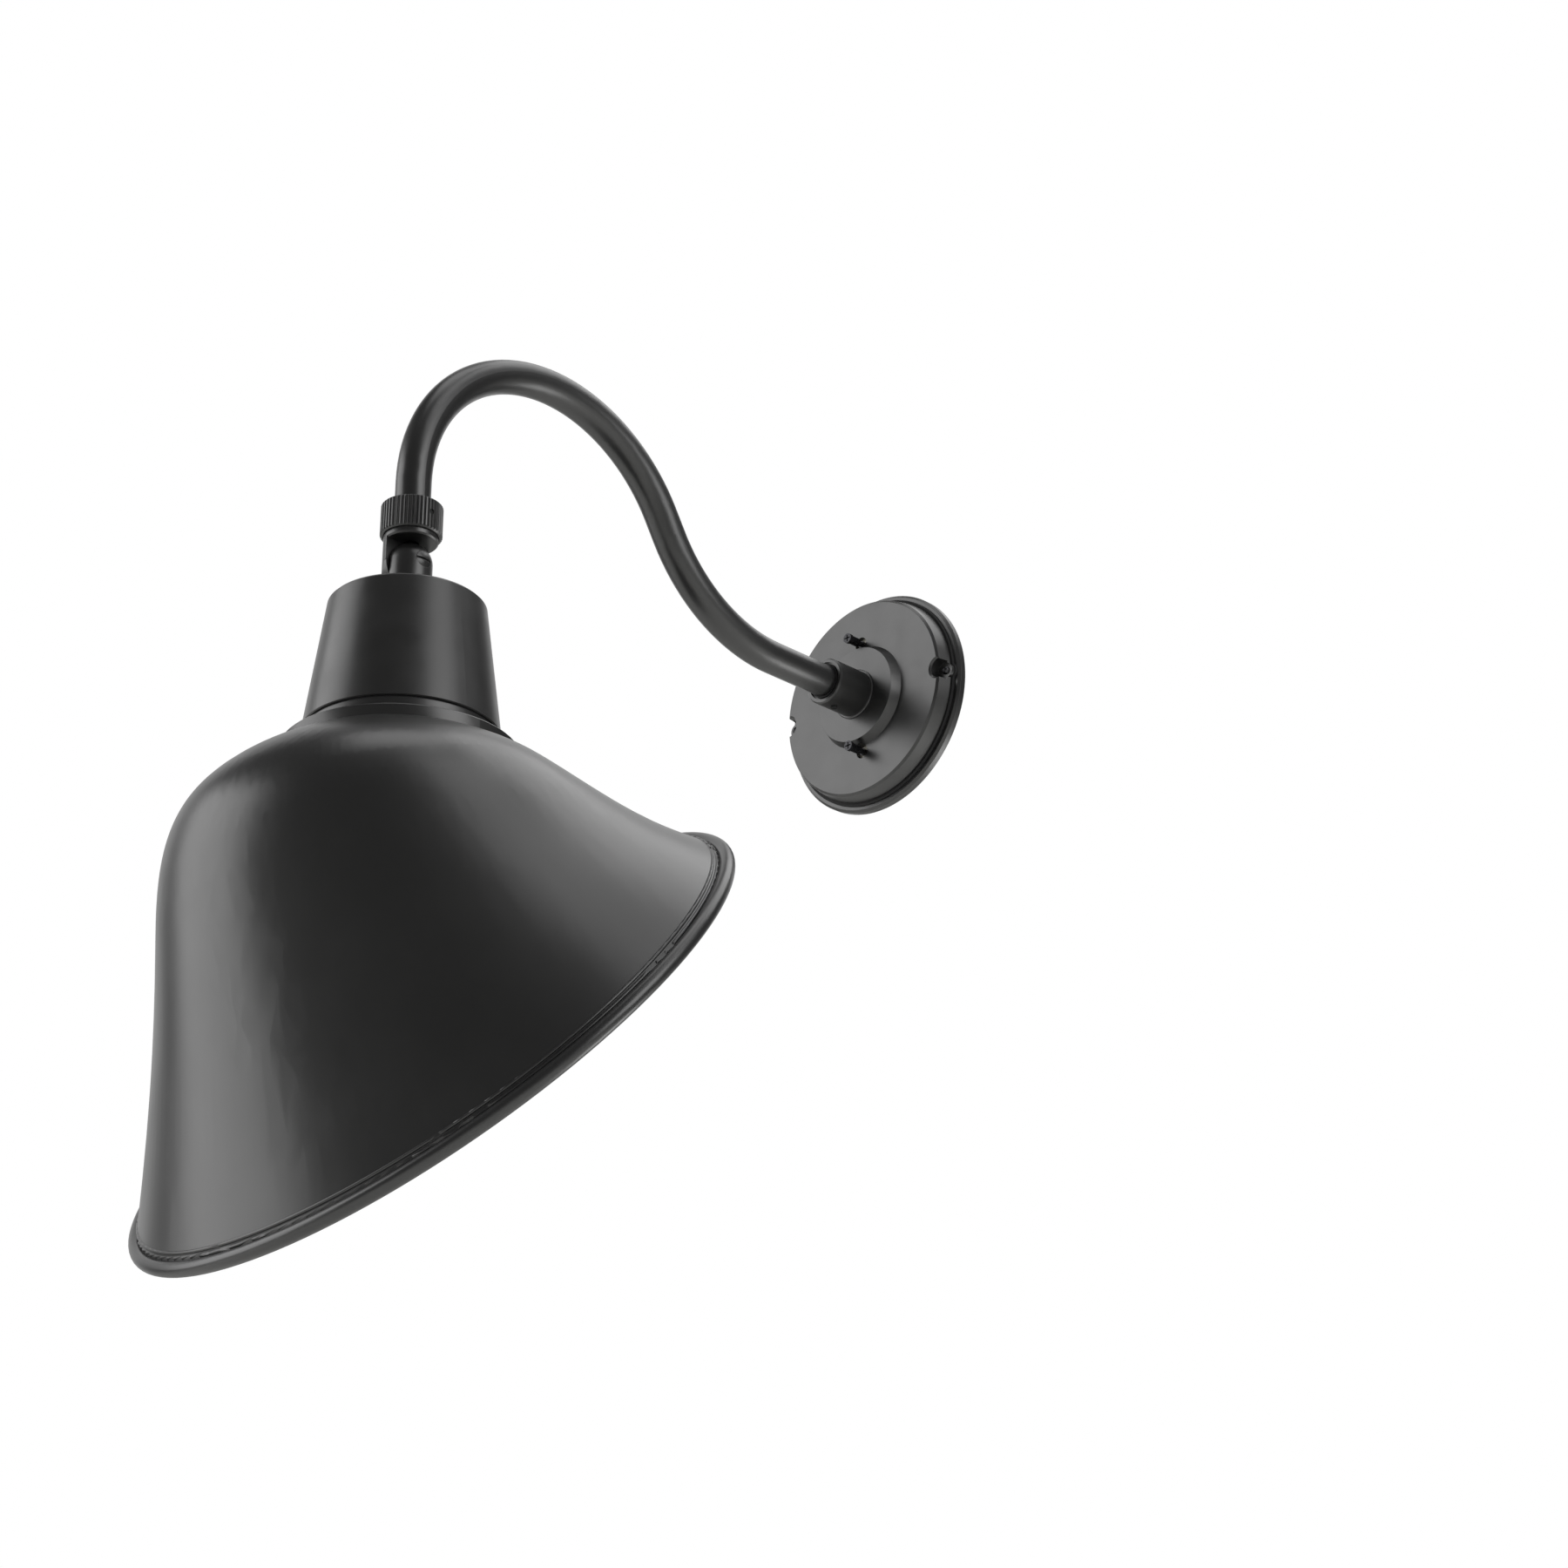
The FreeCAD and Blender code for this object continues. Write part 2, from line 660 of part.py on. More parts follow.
def arm_path(body):
    """The arm's centre line: straight, up-bend, short straight, over-bend and straight down."""
    radius, turn = dim.bend_radius, dim.bend_angle
    sin_turn, cos_turn = sine(turn), cosine(turn)
    first_end = -(dim.arm_projection - radius * (1 + 2 * sin_turn) - dim.middle_run * cos_turn)
    bend_end = (first_end - radius * sin_turn, radius - radius * cos_turn)
    over_start = (bend_end[0] - dim.middle_run * cos_turn, bend_end[1] + dim.middle_run * sin_turn)
    over_centre = (over_start[0] - radius * sin_turn, over_start[1] - radius * cos_turn)
    path = body.newObject("Sketcher::SketchObject", "arm_path")
    path.AttachmentSupport = [(origin_plane(body, "YZ_Plane"), "")]
    path.MapMode = "FlatFace"

    def point(pair):
        return FreeCAD.Vector(as_size(pair[0]).value, as_size(pair[1]).value, 0)

    def arc(centre, start_angle, end_angle):
        circle = Part.Circle(point(centre), FreeCAD.Vector(0, 0, 1), radius.value)
        return Part.ArcOfCircle(circle, math.radians(start_angle), math.radians(end_angle))

    path.addGeometry(Part.LineSegment(point((-hub_floor, 0)), point((first_end, 0))), False)
    path.addGeometry(arc((first_end, radius), 270 - turn.value, 270), False)
    path.addGeometry(Part.LineSegment(point(bend_end), point(over_start)), False)
    path.addGeometry(arc(over_centre, 90 - turn.value, 180), False)
    path.addGeometry(Part.LineSegment(point((-dim.arm_projection, over_centre[1])),
                                      point((-dim.arm_projection, -dim.arm_end_drop))), False)
    for joint in ((0, 2, 1, 2), (1, 1, 2, 1), (2, 2, 3, 1), (3, 2, 4, 1)):
        path.addConstraint(Sketcher.Constraint("Tangent", *joint))
    path.addConstraint(Sketcher.Constraint("PointOnObject", 0, 1, -1))
    path.addConstraint(Sketcher.Constraint("Horizontal", 0))
    path.addConstraint(Sketcher.Constraint("Vertical", 4))
    held = (
        (Sketcher.Constraint("DistanceX", -1, 1, 0, 1, -hub_floor.value), -hub_floor),
        (Sketcher.Constraint("DistanceX", -1, 1, 0, 2, first_end.value), first_end),
        (Sketcher.Constraint("Radius", 1, radius.value), radius),
        (Sketcher.Constraint("Radius", 3, radius.value), radius),
        (Sketcher.Constraint("Distance", 2, SIZES["middle_run"]), dim.middle_run),
        (Sketcher.Constraint("DistanceX", -1, 1, 4, 2, -SIZES["arm_projection"]), -dim.arm_projection),
        (Sketcher.Constraint("DistanceY", -1, 1, 4, 2, -SIZES["arm_end_drop"]), -dim.arm_end_drop),
    )
    for constraint, value in held:
        number = path.addConstraint(constraint)
        bind(path, f"Constraints[{number}]", value)
    return path


def gooseneck_arm():
    """Bent steel tube, swept along its centre line."""
    body = doc.addObject("PartDesign::Body", "arm_body")
    path = arm_path(body)
    section = body.newObject("Sketcher::SketchObject", "arm_section")
    section.AttachmentSupport = [(origin_plane(body, "XZ_Plane"), "")]
    section.MapMode = "FlatFace"
    bind(section, "AttachmentOffset.Base.z", hub_floor)
    for index, radius in enumerate((dim.tube_radius, dim.tube_radius - dim.tube_wall)):
        circle = Part.Circle(FreeCAD.Vector(), FreeCAD.Vector(0, 0, 1), radius.value)
        section.addGeometry(circle, False)
        section.addConstraint(Sketcher.Constraint("Coincident", index, 3, -1, 1))
        number = section.addConstraint(Sketcher.Constraint("Radius", index, radius.value))
        bind(section, f"Constraints[{number}]", radius)
    pipe = body.newObject("PartDesign::AdditivePipe", "arm_tube")
    pipe.Profile = section
    pipe.Spine = (path, ["Edge1", "Edge2", "Edge3", "Edge4", "Edge5"])
    body.Tip = pipe
    node("gooseneck_arm", body)


# --- Swivel: heights are measured from the arm's axis at the wall --------------------------------

neck_y = -dim.arm_projection
arm_end = -dim.arm_end_drop
ferrule_bottom = arm_end - dim.ferrule_floor
washer_top = ferrule_bottom - dim.swivel_gap
disc_top = washer_top - dim.swivel_washer_depth
disc_bottom = disc_top - dim.disc_depth
ring_top = -dim.ring_top_drop
ring_bottom = ring_top - dim.ring_height
stem_hole = dim.stem_radius + dim.fit_gap
clip_bottom = arm_end + dim.swivel_gap
hinge_z = -dim.hinge_drop


def arm_ferrule():
    ferrule_top = ferrule_bottom + dim.ferrule_height
    node("arm_ferrule", turned("ferrule_turned", [
        (tube_bore, ferrule_top),
        (dim.ferrule_radius, ferrule_top),
        (dim.ferrule_radius, ferrule_bottom),
        (stem_hole, ferrule_bottom),
        (stem_hole, arm_end),
        (tube_bore, arm_end),
    ], at=(0, neck_y, 0)))


def lock_ring():
    """Ridged union ring that closes over the ferrule and the top of the swivel."""
    lip_bore = dim.tube_radius + dim.swivel_gap
    lip_bottom = ring_top - dim.ring_lip
    cavity = dim.ferrule_radius + dim.swivel_gap
    recess = dim.disc_radius + dim.swivel_gap
    recess_top = disc_top + dim.swivel_gap
    body = turned("ring_turned", [
        (lip_bore, ring_top),
        (dim.ring_radius - dim.ring_top_edge, ring_top),
        (dim.ring_radius, ring_top - dim.ring_top_edge),
        (dim.ring_radius, ring_bottom + dim.ring_chamfer),
        (dim.ring_radius - dim.ring_chamfer, ring_bottom),
        (recess, ring_bottom),
        (recess, recess_top),
        (cavity, recess_top),
        (cavity, lip_bottom),
        (lip_bore, lip_bottom),
    ], at=(0, neck_y, 0))
    half_groove = dim.ring_radius * sine(180 / dim.ring_ridges) * dim.ridge_gap_share
    profile = outline(body, "ridge_gap", "XY_Plane", [
        (dim.ring_radius - dim.ridge_depth, 0),
        (dim.ring_radius + dim.ridge_depth, -2 * half_groove),
        (dim.ring_radius + dim.ridge_depth, 2 * half_groove),
    ])
    pocket = body.newObject("PartDesign::Pocket", "ridge_gap_cut")
    pocket.Profile = profile
    pocket.Type = "ThroughAll"
    body.Tip = pocket
    doc.recompute()
    pattern = body.newObject("PartDesign::PolarPattern", "ridge_gaps")
    pattern.Originals = [pocket]
    pattern.Axis = (profile, ["N_Axis"])
    pattern.Angle = 360
    bind(pattern, "Occurrences", dim.ring_ridges)
    body.Tip = pattern
    screw_z = (ring_top + recess_top) / 2
    hole = cylinder(dim.ring_screw_radius + dim.fit_gap, dim.ring_radius, (0, neck_y, screw_z), "side")
    node("lock_ring", cut(body, hole))
    screw_start = cavity + dim.fit_gap
    screw_length = dim.ring_radius - dim.ring_screw_depth / 2 - screw_start
    node("ring_set_screw",
         cylinder(dim.ring_screw_radius, screw_length, (screw_start, neck_y, screw_z), "side"))


def swivel_parts():
    node("swivel_washer",
         ring(dim.ferrule_radius, stem_hole, dim.swivel_washer_depth, (0, neck_y, disc_top)))
    clip_inner = dim.stem_radius - dim.clip_groove + dim.fit_gap
    clip_outer = dim.tube_radius - dim.tube_wall - dim.swivel_gap
    node("stem_clip", ring(clip_outer, clip_inner, dim.clip_depth, (0, neck_y, clip_bottom)))


# --- Knuckle: a half-round ear above, a half-round tongue below, one screw along X ----------------

nut_seat = dim.ear_face + dim.hinge_nut_depth + dim.tongue_face
screw_hole_x = dim.hinge_screw_radius + dim.fit_gap
head_seat = dim.tongue_radius - dim.hinge_head_sink


def upper_knuckle():
    clip_top = clip_bottom + dim.clip_depth + dim.fit_gap
    stem_top = disc_top + dim.stem_height
    groove = dim.stem_radius - dim.clip_groove
    disc = turned("swivel_turned", [
        (dim.stem_bore, disc_bottom),
        (dim.disc_radius - dim.disc_chamfer, disc_bottom),
        (dim.disc_radius, disc_bottom + dim.disc_chamfer),
        (dim.disc_radius, disc_top),
        (dim.stem_radius, disc_top),
        (dim.stem_radius, clip_bottom - dim.fit_gap),
        (groove, clip_bottom - dim.fit_gap),
        (groove, clip_top),
        (dim.stem_radius, clip_top),
        (dim.stem_radius, stem_top),
        (dim.stem_bore, stem_top),
    ], at=(0, neck_y, 0))
    reach = dim.disc_radius + CUT_PAST
    ear_foot = hinge_z - dim.ear_round
    ear_top = disc_bottom + dim.disc_chamfer
    round_column = cylinder(dim.disc_radius, ear_top - ear_foot, (0, neck_y, ear_foot))
    upper_half = block(reach - dim.ear_face, 2 * reach, ear_top - hinge_z,
                       (-reach, neck_y - reach, hinge_z))
    lower_half = cylinder(dim.ear_round, reach - dim.ear_face, (-reach, neck_y, hinge_z), "side")
    ear = common(round_column, fuse(upper_half, lower_half))
    bore = cylinder(screw_hole_x, reach, (-reach, neck_y, hinge_z), "side")
    nut_pocket = hexagon(dim.hinge_nut_flats + dim.fit_gap, reach - nut_seat + dim.hinge_nut_depth,
                         (-reach, neck_y, hinge_z), "side")
    node("upper_knuckle", cut(fuse(disc, ear), bore, nut_pocket))


def hinge_hardware():
    """Slotted screw whose head follows the tongue's ball, its nut and the washer between the halves."""
    shank_start = -(nut_seat + CUT_PAST)
    shank = cylinder(dim.hinge_screw_radius, head_seat - shank_start,
                     (shank_start, neck_y, hinge_z), "side")
    head = common(cylinder(dim.hinge_head_radius, dim.hinge_head_sink, (head_seat, neck_y, hinge_z), "side"),
                  ball(dim.tongue_radius, (0, neck_y, hinge_z)))
    slot = block(dim.hinge_slot_depth + CUT_PAST, 3 * dim.hinge_head_radius, dim.hinge_slot_width,
                 (dim.tongue_radius - dim.hinge_slot_depth, neck_y - 1.5 * dim.hinge_head_radius,
                  hinge_z - dim.hinge_slot_width / 2))
    node("hinge_screw", cut(fuse(shank, head), slot))
    nut = hexagon(dim.hinge_nut_flats, dim.hinge_nut_depth, (-nut_seat, neck_y, hinge_z), "side")
    bore = cylinder(screw_hole_x, dim.hinge_nut_depth + 2 * CUT_PAST,
                    (-nut_seat - CUT_PAST, neck_y, hinge_z), "side")
    node("hinge_nut", cut(nut, bore))
    thickness = dim.ear_face - dim.tongue_face - 2 * dim.fit_gap
    start = dim.fit_gap - dim.ear_face
    node("hinge_washer",
         ring(dim.hinge_washer_radius, screw_hole_x, thickness, (start, neck_y, hinge_z), "side"))


neck_top = -dim.neck_top_drop
neck_foot = neck_top - dim.neck_height
foot_bottom = neck_top + dim.foot_seal_depth
neck_nut_bottom = neck_top - dim.neck_roof - dim.neck_nut_depth


def lower_knuckle():
    shoulder = hinge_z - dim.ear_round - dim.shoulder_gap
    reach = dim.tongue_radius + CUT_PAST
    rounded = fuse(ball(dim.tongue_radius, (0, neck_y, hinge_z)),
                   cylinder(dim.tongue_radius, hinge_z - shoulder, (0, neck_y, shoulder)))
    keep = block(reach + dim.tongue_face, 2 * reach, 2 * (hinge_z - shoulder) + CUT_PAST,
                 (-dim.tongue_face, neck_y - reach, shoulder))
    stem_end = neck_nut_bottom - 2 * CUT_PAST
    foot = turned("foot_turned", [
        (dim.knuckle_stem_bore, shoulder - dim.neck_roof),
        (dim.knuckle_stem_bore, stem_end),
        (dim.knuckle_stem_radius, stem_end),
        (dim.knuckle_stem_radius, foot_bottom),
        (dim.foot_flange_radius, foot_bottom),
        (dim.foot_flange_radius, foot_bottom + dim.foot_flange_depth),
        (dim.tongue_radius, foot_bottom + dim.foot_flange_depth),
        (dim.tongue_radius, shoulder - dim.neck_roof),
    ], at=(0, neck_y, 0))
    solid_part = cylinder(dim.tongue_radius, dim.neck_roof, (0, neck_y, shoulder - dim.neck_roof))
    bore = cylinder(screw_hole_x, 2 * reach, (-reach, neck_y, hinge_z), "side")
    sink = cylinder(dim.hinge_head_radius + dim.fit_gap, reach, (head_seat, neck_y, hinge_z), "side")
    node("lower_knuckle", cut(fuse(common(rounded, keep), solid_part, foot), bore, sink))
    node("foot_seal", ring(dim.foot_seal_radius, dim.knuckle_stem_radius + dim.fit_gap, dim.foot_seal_depth,
                           (0, neck_y, neck_top)))
    nut = hexagon(dim.neck_nut_flats, dim.neck_nut_depth, (0, neck_y, neck_nut_bottom))
    nut_bore = cylinder(dim.knuckle_stem_radius + dim.fit_gap, dim.neck_nut_depth + 2 * CUT_PAST,
                        (0, neck_y, neck_nut_bottom - CUT_PAST))
    node("neck_nut", cut(nut, nut_bore))


# --- Neck housing with the driver, and the light engine below it ----------------------------------

sink_top = neck_foot - dim.neck_seal_depth
sink_bottom = sink_top - dim.sink_depth
pillar_top = sink_top + dim.fin_height
shade_top = sink_bottom - dim.shade_seal_depth
shade_under = shade_top - dim.shade_wall
board_top = sink_bottom - dim.sink_boss_depth
board_bottom = board_top - dim.board_depth
lens_top = shade_top - dim.lens_drop
lens_bottom = lens_top - dim.lens_depth
lens_seal_bottom = lens_bottom - dim.lens_seal_depth
bezel_bore = dim.lens_radius + dim.fit_gap
bezel_opening = dim.lens_radius - dim.lens_seal_width
bezel_foot = lens_seal_bottom - dim.bezel_lip
driver_ear_x = dim.driver_radius + dim.driver_ear_offset / 2
BEZEL_ANGLES = (45, 135, 225, 315)
BOARD_ANGLES = (90, 210, 330)


def on_circle(radius, angle, z):
    """A point round the neck's axis; angle 0 is +X and 90 is towards the wall."""
    return (radius * cosine(angle), neck_y + radius * sine(angle), z)


def neck_housing():
    stem_clear = dim.knuckle_stem_radius + dim.fit_gap
    node("neck_housing", turned("neck_turned", [
        (stem_clear, neck_top),
        (dim.neck_top_radius - dim.neck_edge, neck_top),
        (dim.neck_top_radius, neck_top - dim.neck_edge),
        (dim.neck_foot_radius, neck_foot + dim.neck_foot_edge),
        (dim.neck_foot_radius - dim.neck_foot_edge, neck_foot),
        (dim.neck_foot_radius - dim.neck_wall, neck_foot),
        (dim.neck_top_radius - dim.neck_wall, neck_top - dim.neck_roof),
        (stem_clear, neck_top - dim.neck_roof),
    ], at=(0, neck_y, 0)))
    node("neck_seal", ring(dim.sink_radius, dim.neck_seal_bore, dim.neck_seal_depth, (0, neck_y, sink_top)))


def heat_sink():
    """Cast heat sink: flange, boss for the board, pillar and radial fins inside the neck."""
    flange = cylinder(dim.sink_radius, dim.sink_depth, (0, neck_y, sink_bottom))
    boss = cylinder(dim.sink_boss_radius, dim.sink_boss_depth, (0, neck_y, board_top))
    pillar = cylinder(dim.sink_pillar_radius, dim.fin_height, (0, neck_y, sink_top))
    inner = dim.sink_pillar_radius - CUT_PAST
    fins = []
    for index in range(SIZES["fin_count"]):
        angle = 360 * index / SIZES["fin_count"]
        fin = doc.addObject("Part::Box", "fin")
        bind(fin, "Length", dim.fin_length)
        bind(fin, "Width", dim.fin_width)
        bind(fin, "Height", dim.fin_height)
        half = dim.fin_width / 2
        x = inner * cosine(angle) + half * sine(angle)
        y = neck_y + inner * sine(angle) - half * cosine(angle)
        turn = FreeCAD.Rotation(FreeCAD.Vector(0, 0, 1), angle)
        fin.Placement = FreeCAD.Placement(FreeCAD.Vector(), turn)
        for axis, value in zip("xyz", (x, y, sink_top)):
            bind(fin, f"Placement.Base.{axis}", value)
        fins.append(fin)
    posts = [cylinder(dim.driver_ear_radius, dim.fin_height, (side * driver_ear_x, neck_y, sink_top))
             for side in SIDES]
    hole = dim.driver_screw_radius + dim.fit_gap
    post_hole = dim.driver_screw_length
    tools = [cylinder(hole, post_hole, (side * driver_ear_x, neck_y, pillar_top - post_hole))
             for side in SIDES]
    thread = dim.bezel_screw_length - dim.bezel_flange_depth - dim.shade_wall - dim.shade_seal_depth
    tools += [cylinder(dim.bezel_screw_radius + dim.fit_gap, thread + 2 * dim.fit_gap,
                       on_circle(dim.bezel_screw_ring, angle, sink_bottom)) for angle in BEZEL_ANGLES]
    tools += [cylinder(dim.board_screw_radius + dim.fit_gap, dim.sink_boss_depth,
                       on_circle(dim.board_screw_ring, angle, board_top)) for angle in BOARD_ANGLES]
    node("heat_sink", cut(fuse(flange, boss, pillar, *fins, *posts), *tools))


def led_driver():
    can = cylinder(dim.driver_radius, dim.driver_height, (0, neck_y, pillar_top))
    ears = [cylinder(dim.driver_ear_radius, dim.driver_ear_depth, (side * driver_ear_x, neck_y, pillar_top))
            for side in SIDES]
    bridges = block(2 * driver_ear_x, 2 * dim.driver_ear_radius, dim.driver_ear_depth,
                    (-driver_ear_x, neck_y - dim.driver_ear_radius, pillar_top))
    room = [cylinder(dim.driver_ear_radius + dim.fit_gap, dim.driver_height,
                     (side * driver_ear_x, neck_y, pillar_top + dim.driver_ear_depth)) for side in SIDES]
    holes = [cylinder(dim.driver_screw_radius + dim.fit_gap, dim.driver_ear_depth + 2 * CUT_PAST,
                      (side * driver_ear_x, neck_y, pillar_top - CUT_PAST)) for side in SIDES]
    node("led_driver", cut(fuse(can, bridges, *ears), *room, *holes))
    screws = []
    for side in SIDES:
        x = side * driver_ear_x
        top = pillar_top + dim.driver_ear_depth
        head = dome(dim.driver_screw_head, (x, neck_y, top))
        shank = cylinder(dim.driver_screw_radius, dim.driver_screw_length,
                         (x, neck_y, top - dim.driver_screw_length))
        screws.append(fuse(head, shank))
    node("driver_screws", group(screws))


def led_board():
    board = cylinder(dim.board_radius, dim.board_depth, (0, neck_y, board_bottom))
    hole = dim.board_screw_radius + dim.fit_gap
    holes = [cylinder(hole, dim.board_depth + 2 * CUT_PAST,
                      on_circle(dim.board_screw_ring, angle, board_bottom - CUT_PAST))
             for angle in BOARD_ANGLES]
    node("led_board", cut(board, *holes))
    emitters = []
    size, depth = dim.emitter_size, dim.emitter_depth
    for index in range(SIZES["emitter_count"]):
        angle = 360 * index / SIZES["emitter_count"]
        x, y, z = on_circle(dim.emitter_ring, angle, board_bottom - depth)
        emitters.append(block(size, size, depth, (x - size / 2, y - size / 2, z)))
    node("led_emitters", group(emitters))
    screws = []
    for angle in BOARD_ANGLES:
        head = cylinder(dim.board_screw_head, dim.board_screw_head_depth,
                        on_circle(dim.board_screw_ring, angle, board_bottom - dim.board_screw_head_depth))
        shank = cylinder(dim.board_screw_radius, dim.board_screw_length,
                         on_circle(dim.board_screw_ring, angle, board_bottom))
        screws.append(fuse(head, shank))
    node("board_screws", group(screws))


def lens_parts():
    """Reflector cone, bulged lens, its seal and the bezel that holds them under the shade's top."""
    inner = dim.board_radius + dim.swivel_gap
    top = board_bottom - dim.swivel_gap
    foot = lens_top + dim.fit_gap
    outer = dim.lens_radius - dim.fit_gap
    node("reflector", turned("reflector_turned", [
        (inner, top),
        (inner + dim.reflector_wall, top),
        (outer, foot),
        (outer - dim.reflector_wall, foot),
    ], at=(0, neck_y, 0)))
    disc = cylinder(dim.lens_radius, dim.lens_depth, (0, neck_y, lens_bottom))
    cap_radius = bezel_opening - dim.swivel_gap
    sphere = (cap_radius * cap_radius + dim.lens_bulge * dim.lens_bulge) / (2 * dim.lens_bulge)
    bulge = common(ball(sphere, (0, neck_y, lens_bottom - dim.lens_bulge + sphere)),
                   cylinder(cap_radius, dim.lens_bulge, (0, neck_y, lens_bottom - dim.lens_bulge)))
    node("lens", fuse(disc, bulge))
    node("lens_seal",
         ring(dim.lens_radius, bezel_opening, dim.lens_seal_depth, (0, neck_y, lens_seal_bottom)))
    flange_bottom = shade_under - dim.bezel_flange_depth
    bezel = turned("bezel_turned", [
        (bezel_bore, shade_under),
        (dim.bezel_flange_radius, shade_under),
        (dim.bezel_flange_radius, flange_bottom),
        (bezel_bore + dim.bezel_wall, flange_bottom),
        (bezel_bore + dim.bezel_wall, bezel_foot),
        (bezel_opening, bezel_foot),
        (bezel_opening, lens_seal_bottom),
        (bezel_bore, lens_seal_bottom),
    ], at=(0, neck_y, 0))
    hole = dim.bezel_screw_radius + dim.fit_gap
    holes = [cylinder(hole, dim.bezel_flange_depth + 2 * CUT_PAST,
                      on_circle(dim.bezel_screw_ring, angle, flange_bottom - CUT_PAST))
             for angle in BEZEL_ANGLES]
    node("lens_bezel", cut(bezel, *holes))
    screws = []
    for angle in BEZEL_ANGLES:
        head = cylinder(dim.bezel_screw_head, dim.bezel_screw_head_depth,
                        on_circle(dim.bezel_screw_ring, angle, flange_bottom - dim.bezel_screw_head_depth))
        shank = cylinder(dim.bezel_screw_radius, dim.bezel_screw_length,
                         on_circle(dim.bezel_screw_ring, angle, flange_bottom))
        screws.append(fuse(head, shank))
    node("bezel_screws", group(screws))


# --- Bell shade -----------------------------------------------------------------------------------

collar_foot = shade_top - dim.collar_height
mouth_y = neck_y + dim.mouth_back
mouth_z = shade_top - dim.mouth_drop
# Each row: radius, height, distance towards the wall, lean of the circle.
BELL = (
    (dim.collar_radius, collar_foot, as_size(0), as_size(0)),
    (dim.brow_radius, shade_top - dim.brow_drop, -dim.brow_forward, dim.brow_tilt),
    (dim.shoulder_radius, shade_top - dim.shoulder_drop, -dim.shoulder_forward, dim.shoulder_tilt),
    (dim.cheek_radius, shade_top - dim.cheek_drop, -dim.cheek_forward, dim.cheek_tilt),
    (dim.skirt_radius, shade_top - dim.skirt_drop, dim.skirt_back, dim.skirt_tilt),
    (dim.mouth_radius, mouth_z, dim.mouth_back, dim.mouth_tilt),
)


def lean(obj, tilt, y, z):
    """Set an object at a point in the plane X = 0, leaning so that its side towards the wall rises."""
    at = f"vector(0; {as_size(y).formula}; {as_size(z).formula})"
    obj.setExpression("Placement", f"placement({at}; rotationx({tilt.formula}) * rotationz(90))")


def bell_solid(inset):
    """Loft through the leaning circles; the inset moves each one in and along its own axis."""
    circles = []
    for radius, height, back, tilt in BELL:
        circle = doc.addObject("Part::Circle", "bell_circle")
        bind(circle, "Radius", radius - inset)
        lean(circle, tilt, neck_y + back + inset * sine(tilt), height - inset * cosine(tilt))
        circles.append(circle)
    loft = doc.addObject("Part::Loft", "bell_loft")
    loft.Sections = circles
    loft.Solid = True
    loft.Ruled = False
    loft.MaxDegree = 3
    return loft


def rim_piece(kind, sizes, drop):
    """A round piece coaxial with the mouth, a distance below the mouth's circle."""
    obj = doc.addObject(kind, "rim_piece")
    for prop, value in sizes.items():
        bind(obj, prop, value)
    y = mouth_y + drop * sine(dim.mouth_tilt)
    z = mouth_z - drop * cosine(dim.mouth_tilt)
    lean(obj, dim.mouth_tilt, y, z)
    return obj


def shade_rim():
    """Flared lip, two fine ridges and the rolled bead."""
    mouth, flare, lip = dim.mouth_radius, dim.lip_flare, dim.lip_drop
    outer = rim_piece("Part::Cone", {"Radius1": mouth + flare, "Radius2": mouth, "Height": lip}, lip)
    inner = rim_piece("Part::Cone", {"Radius1": mouth + flare - dim.shade_wall,
                                     "Radius2": mouth - dim.shade_wall, "Height": lip}, lip)
    bead = rim_piece("Part::Torus", {"Radius1": mouth + dim.bead_reach, "Radius2": dim.bead_radius},
                     dim.bead_drop)
    ridges = []
    for drop in (dim.ridge_drop, dim.ridge_drop + dim.ridge_step):
        centre = mouth + flare * drop / lip - dim.rim_ridge_sink
        sizes = {"Radius1": centre, "Radius2": dim.rim_ridge}
        ridges.append(rim_piece("Part::Torus", sizes, drop))
    return [cut(outer, inner), bead] + ridges


def bell_shade():
    straight = dim.collar_height - dim.collar_edge
    collar = fuse(cylinder(dim.collar_radius, straight, (0, neck_y, collar_foot)),
                  cone(dim.collar_radius, dim.collar_radius - dim.collar_edge, dim.collar_edge,
                       (0, neck_y, collar_foot + straight)))
    hollow_collar = cylinder(dim.collar_radius - dim.shade_wall, dim.collar_height,
                             (0, neck_y, collar_foot - dim.shade_wall))
    outer = fuse(collar, bell_solid(as_size(0)))
    inner = fuse(hollow_collar, bell_solid(dim.shade_wall))
    through = dim.shade_wall + 2 * CUT_PAST
    low = shade_under - CUT_PAST
    tools = [cylinder(dim.shade_hole_radius, through, (0, neck_y, low))]
    tools += [cylinder(dim.bezel_screw_radius + dim.fit_gap, through,
                       on_circle(dim.bezel_screw_ring, angle, low)) for angle in BEZEL_ANGLES]
    tools.append(cylinder(dim.lock_screw_radius + dim.fit_gap, through,
                          on_circle(dim.lock_screw_ring, dim.lock_screw_angle, low)))
    node("bell_shade", fuse(cut(cut(outer, inner), *tools), *shade_rim()))
    seal = ring(dim.sink_radius, dim.shade_hole_radius, dim.shade_seal_depth, (0, neck_y, shade_top))
    holes = [cylinder(dim.bezel_screw_radius + dim.fit_gap, dim.shade_seal_depth + 2 * CUT_PAST,
                      on_circle(dim.bezel_screw_ring, angle, shade_top - CUT_PAST))
             for angle in BEZEL_ANGLES]
    node("shade_seal", cut(seal, *holes))


